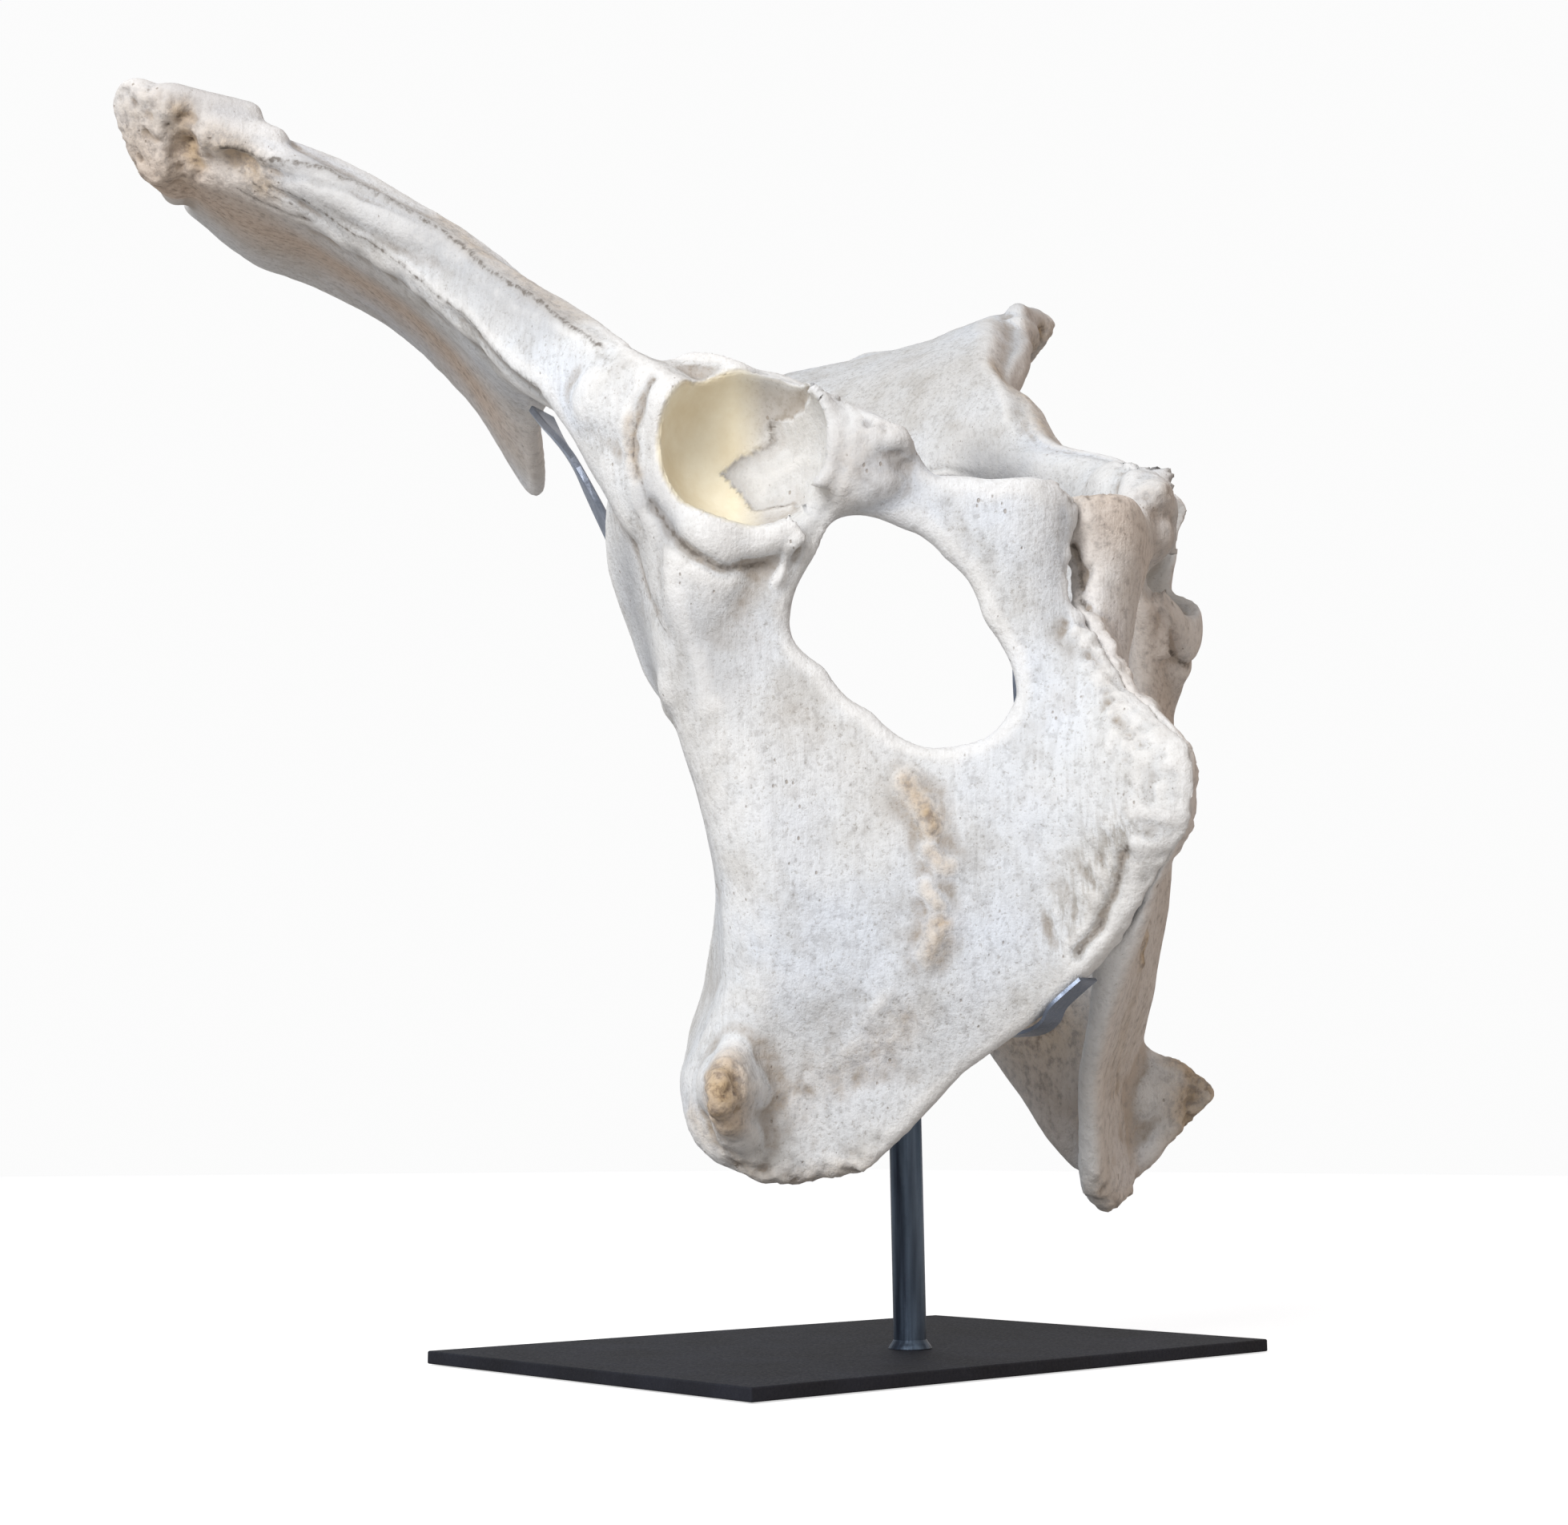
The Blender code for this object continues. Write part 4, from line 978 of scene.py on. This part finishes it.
def bone_stains_and_shade(tree, base, noise):
    """Brown and tan stains, partly painted warm shade, and the clean greyish bone of the socket's floor and
    rim.
    """
    # Brown: stain and painted warm shade
    brown = ramp(tree, noise["small"], BROWN_STAIN_AND_SHADE)
    base = laid_over(tree, base, brown, reckoned(tree, masked(tree, "brown"), 0.5))
    # Tan: stains, and painted shade on the ilium's upper strip
    tan = reckoned(tree, masked(tree, "tan"), ramp(tree, noise["patch"], [(0.35, (0.45,)), (0.6, (1.0,))]))
    base = laid_over(tree, base, ramp(tree, noise["small"], TAN_STAIN_AND_SHADE), tan)
    return laid_over(tree, base, CLEAN_WHITE, reckoned(tree, masked(tree, "clean"), 0.55))


def bone_pits(tree, place, noise):
    """Value that is 0 in a small pit and 1 beside it: the distance from scattered points, less a
    pit's size, which is nothing in some places."""
    taller = stretched(tree, place, (0.0, 0.0, 0.0), (1.0, 1.0, 0.6))
    scatter = node(tree, "ShaderNodeTexVoronoi", [("Vector", taller), ("Scale", 260.0),
                                                  ("Randomness", 1.0)]).outputs["Distance"]
    size = ramp(tree, noise["patch"], [(0.50, (0.0,)), (0.70, (0.14,))])
    beside = reckoned(tree, reckoned(tree, scatter, size, "SUBTRACT"), 14.0)
    return ramp(tree, beside, [(0.0, (0.0,)), (0.9, (1.0,))])


def bone_cracks_and_shade(tree, base, noise):
    """Thin broken dark lines, part cracks and dirt and part painted shade in grooves and slits. A line's own
    distance is pushed about by fine noise first.
    """
    gap = reckoned(tree, masked(tree, "crack_and_shade"), reckoned(tree, noise["small"], 5.0), "ADD")
    line = ramp(tree, reckoned(tree, gap, 0.1), [(0.25, (1.0,)), (0.37, (0.25,)), (0.55, (0.0,))])
    return laid_over(tree, base, CRACK_AND_SHADE_DARK, reckoned(tree, line, 0.85))


def dry_bone():
    """Chalky bone: cool and warm whites in clouds; dirt, stains, pits and dark lines, many of them partly
    painted shade; and cream in the socket, partly painted shade.
    Its relief is the sum of the finer patterns, and is low in the smooth cup."""
    mat, tree, shader = new_material("dry_bone")
    shader.inputs["Specular IOR Level"].default_value = 0.3
    place = node(tree, "ShaderNodeAttribute", attribute_name="own").outputs["Vector"]
    noise = bone_noises(tree, place)

    base = ramp(tree, noise["broad"], BONE_WHITES)
    for name, stops, share in BONE_SHADES:
        base = laid_over(tree, base, ramp(tree, noise[name], stops), share, "MULTIPLY")
    base = bone_stains_and_shade(tree, bone_dirt_and_shade(tree, base, place, noise), noise)
    pits = bone_pits(tree, place, noise)
    # Pits darkened: dirt and painted shade inside them
    pitted = reckoned(tree, reckoned(tree, 1.0, pits, "SUBTRACT"), 0.6)
    base = bone_cracks_and_shade(tree, laid_over(tree, base, PIT_DARK, pitted), noise)
    # Pores darkened: dirt and painted shade inside them
    base = laid_over(tree, base, PORE_DARK, masked(tree, "porous"))
    cream = ramp(tree, noise["patch"], CREAM_STAIN_AND_SHADE)
    base = laid_over(tree, base, cream, reckoned(tree, masked(tree, "cream"), 0.9))
    tree.links.new(base, shader.inputs["Base Color"])

    cup = masked(tree, "cup")
    gloss = ramp(tree, cup, [(0.0, (0.85,)), (1.0, (0.48,))])
    tree.links.new(gloss, shader.inputs["Roughness"])
    relief = reckoned(tree, noise["small"], 0.8)
    for pattern, share in ((noise["fibre"], 0.5), (noise["speck"], 0.35), (pits, 0.4)):
        relief = reckoned(tree, relief, reckoned(tree, pattern, share), "ADD")
    relief = reckoned(tree, relief, ramp(tree, cup, [(0.0, (1.0,)), (1.0, (0.12,))]))
    bump = node(tree, "ShaderNodeBump", [("Strength", 0.7), ("Distance", 0.0011), ("Height", relief)])
    tree.links.new(bump.outputs["Normal"], shader.inputs["Normal"])
    return mat


bone_finish = dry_bone()
for piece, cad in zip(bone_pieces, ("left_hip_bone", "right_hip_bone")):
    piece.data.materials.append(bone_finish)
    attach(piece, "root")
    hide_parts(cad)


# Ischium clip: a small strip of the same bare steel, fixed to the upright. It runs forward under
# the symphysis to the arch between the ischia and turns up in front of the right bone's edge.


def strap_skin(path, across, thick, width):
    """Flat strap along a path: at each step a rectangle, as wide as the across direction and as
    thick as the direction square to it and to the path."""
    steps = 70
    centre, side = through(path, steps), through(across, steps)
    side /= np.linalg.norm(side, axis=1, keepdims=True)
    flat = np.cross(side, np.gradient(centre, axis=0))
    flat *= thick / 2 / np.linalg.norm(flat, axis=1, keepdims=True)
    corners = [(1, 1), (1, 0.9), (1, -0.9), (1, -1), (-1, -1), (-1, -0.9), (-1, 0.9), (-1, 1)]
    ring = np.stack([centre + flat * f + side * (width / 2 * w) for f, w in corners], 1)
    quads = grid_quads(steps, len(corners), close_columns=True)
    ends = np.array([(0, 1, 6, 7), (1, 2, 5, 6), (2, 3, 4, 5)])
    return ring.reshape(-1, 3), np.vstack([quads, ends[:, ::-1], ends + (steps - 1) * len(corners)])


# Middle of the strip from the upright to its tip, and the direction across it at each place
CLIP_PATH = [(0, -6.7, 122), (0, -30, 121.5), (-2, -60, 121.5), (-8, -84, 121.5), (-12, -98, 124.5),
             (-13.4, -104.0, 129.5), (-10.5, -109.0, 134.5), (-7.2, -113.6, 139)]
CLIP_ACROSS = [(1, 0, 0), (1, 0, 0), (1, 0, 0), (0.97, 0.2, 0), (0.95, 0.3, 0.03), (0.95, 0.33, 0.04),
               (0.95, 0.33, 0.04), (0.95, 0.33, 0.04)]
CLIP_THICK, CLIP_WIDTH = 1.3, 12.6
clip_points, clip_quads = strap_skin(CLIP_PATH, CLIP_ACROSS, CLIP_THICK, CLIP_WIDTH)
clip = in_scene("clip_strap", plain_mesh("clip_strap", [(on_stand(clip_points), clip_quads)]))
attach(clip, "root")
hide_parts("ischium_clip")
clip.data.materials.append(bright_strap)


# Floor, light and camera: a pale floor and a white backdrop, as in a product photo. One window
# lights the near side, and the camera looks up a little from just above the plate.

STUDIO_REACH = 6.0
STUDIO_HEIGHT = -0.0005
# The studio floor's own shade, what the camera sees instead, and the glow that it alone sees
STUDIO_SHADE, STUDIO_SEEN = (0.52, 0.50, 0.48, 1), (0.60, 0.60, 0.60, 1)
STUDIO_GLOW = (0.66, 0.66, 0.66, 1)
floor_mesh = bpy.data.meshes.new("studio_floor")
floor_mesh.from_pydata([(x * STUDIO_REACH, y * STUDIO_REACH, STUDIO_HEIGHT)
                        for x, y in ((-1, -1), (1, -1), (1, 1), (-1, 1))], [], [(0, 1, 2, 3)])
studio_floor = in_scene("studio_floor", floor_mesh)
floor_finish, tree, shader = new_material("pale_floor")
seen = node(tree, "ShaderNodeLightPath").outputs["Is Camera Ray"]
tree.links.new(laid_over(tree, STUDIO_SHADE, STUDIO_SEEN, seen), shader.inputs["Base Color"])
tree.links.new(laid_over(tree, (0.0, 0.0, 0.0, 1), STUDIO_GLOW, seen), shader.inputs["Emission Color"])
shader.inputs["Emission Strength"].default_value = 1.0
shader.inputs["Roughness"].default_value = 0.9
floor_mesh.materials.append(floor_finish)

# The backdrop is white to the camera. To the object it is a dimmer room, cool on the side of
# the window and warm on the other
WARM_SIDE = (0.735, -0.678, 0.0)
ROOM = [(0.2, (0.56, 0.59, 0.63)), (0.55, (0.46, 0.46, 0.47)), (0.9, (0.64, 0.56, 0.50))]
BACKDROP = (0.97, 0.97, 0.97, 1)
world = bpy.data.worlds.new("studio")
bpy.context.scene.world = world
world.use_nodes = True
tree = world.node_tree
seen = node(tree, "ShaderNodeLightPath").outputs["Is Camera Ray"]
outlook = node(tree, "ShaderNodeTexCoord").outputs["Generated"]
side = node(tree, "ShaderNodeVectorMath", [(0, outlook), (1, WARM_SIDE)], operation="DOT_PRODUCT")
warmth = reckoned(tree, reckoned(tree, side.outputs["Value"], 0.5), 0.5, "ADD")
backdrop = laid_over(tree, ramp(tree, warmth, ROOM), BACKDROP, seen)
tree.links.new(backdrop, tree.nodes["Background"].inputs["Color"])

# The window is one square lamp, with its places and size in metres
WINDOW_PLACE = (-2.0, -0.75, 1.25)
WINDOW_TARGET = (0, 0, 0.28)
WINDOW_SIZE = 1.0
WINDOW_WATTS = 48
WINDOW_COLOUR = (0.99, 0.99, 1.0)
window_lamp = bpy.data.lights.new("window", "AREA")
window_lamp.size = WINDOW_SIZE
window_lamp.energy = WINDOW_WATTS
window_lamp.color = WINDOW_COLOUR
window = in_scene("window", window_lamp)
window.location = WINDOW_PLACE
window.rotation_euler = (Vector(WINDOW_TARGET) - Vector(WINDOW_PLACE)).to_track_quat("-Z", "Y").to_euler()

bpy.context.scene.view_settings.view_transform = "Standard"

# The camera's place in metres, its turn from the X axis, and how far it looks up
CAMERA_PLACE = (-0.6425, -0.6525, 0.080)
CAMERA_TURN, CAMERA_PITCH = math.radians(47.3), math.radians(9.64)
CAMERA_LENS, SENSOR_WIDTH = 52.29, 36
camera_data = bpy.data.cameras.new("camera")
camera = in_scene("camera", camera_data)
camera_data.sensor_width = SENSOR_WIDTH
camera_data.lens = CAMERA_LENS
camera_data.clip_start = 0.01
camera.location = CAMERA_PLACE
level = math.cos(CAMERA_PITCH)
aim = Vector((math.cos(CAMERA_TURN) * level, math.sin(CAMERA_TURN) * level, math.sin(CAMERA_PITCH)))
camera.rotation_euler = aim.to_track_quat("-Z", "Y").to_euler()
bpy.context.scene.camera = camera
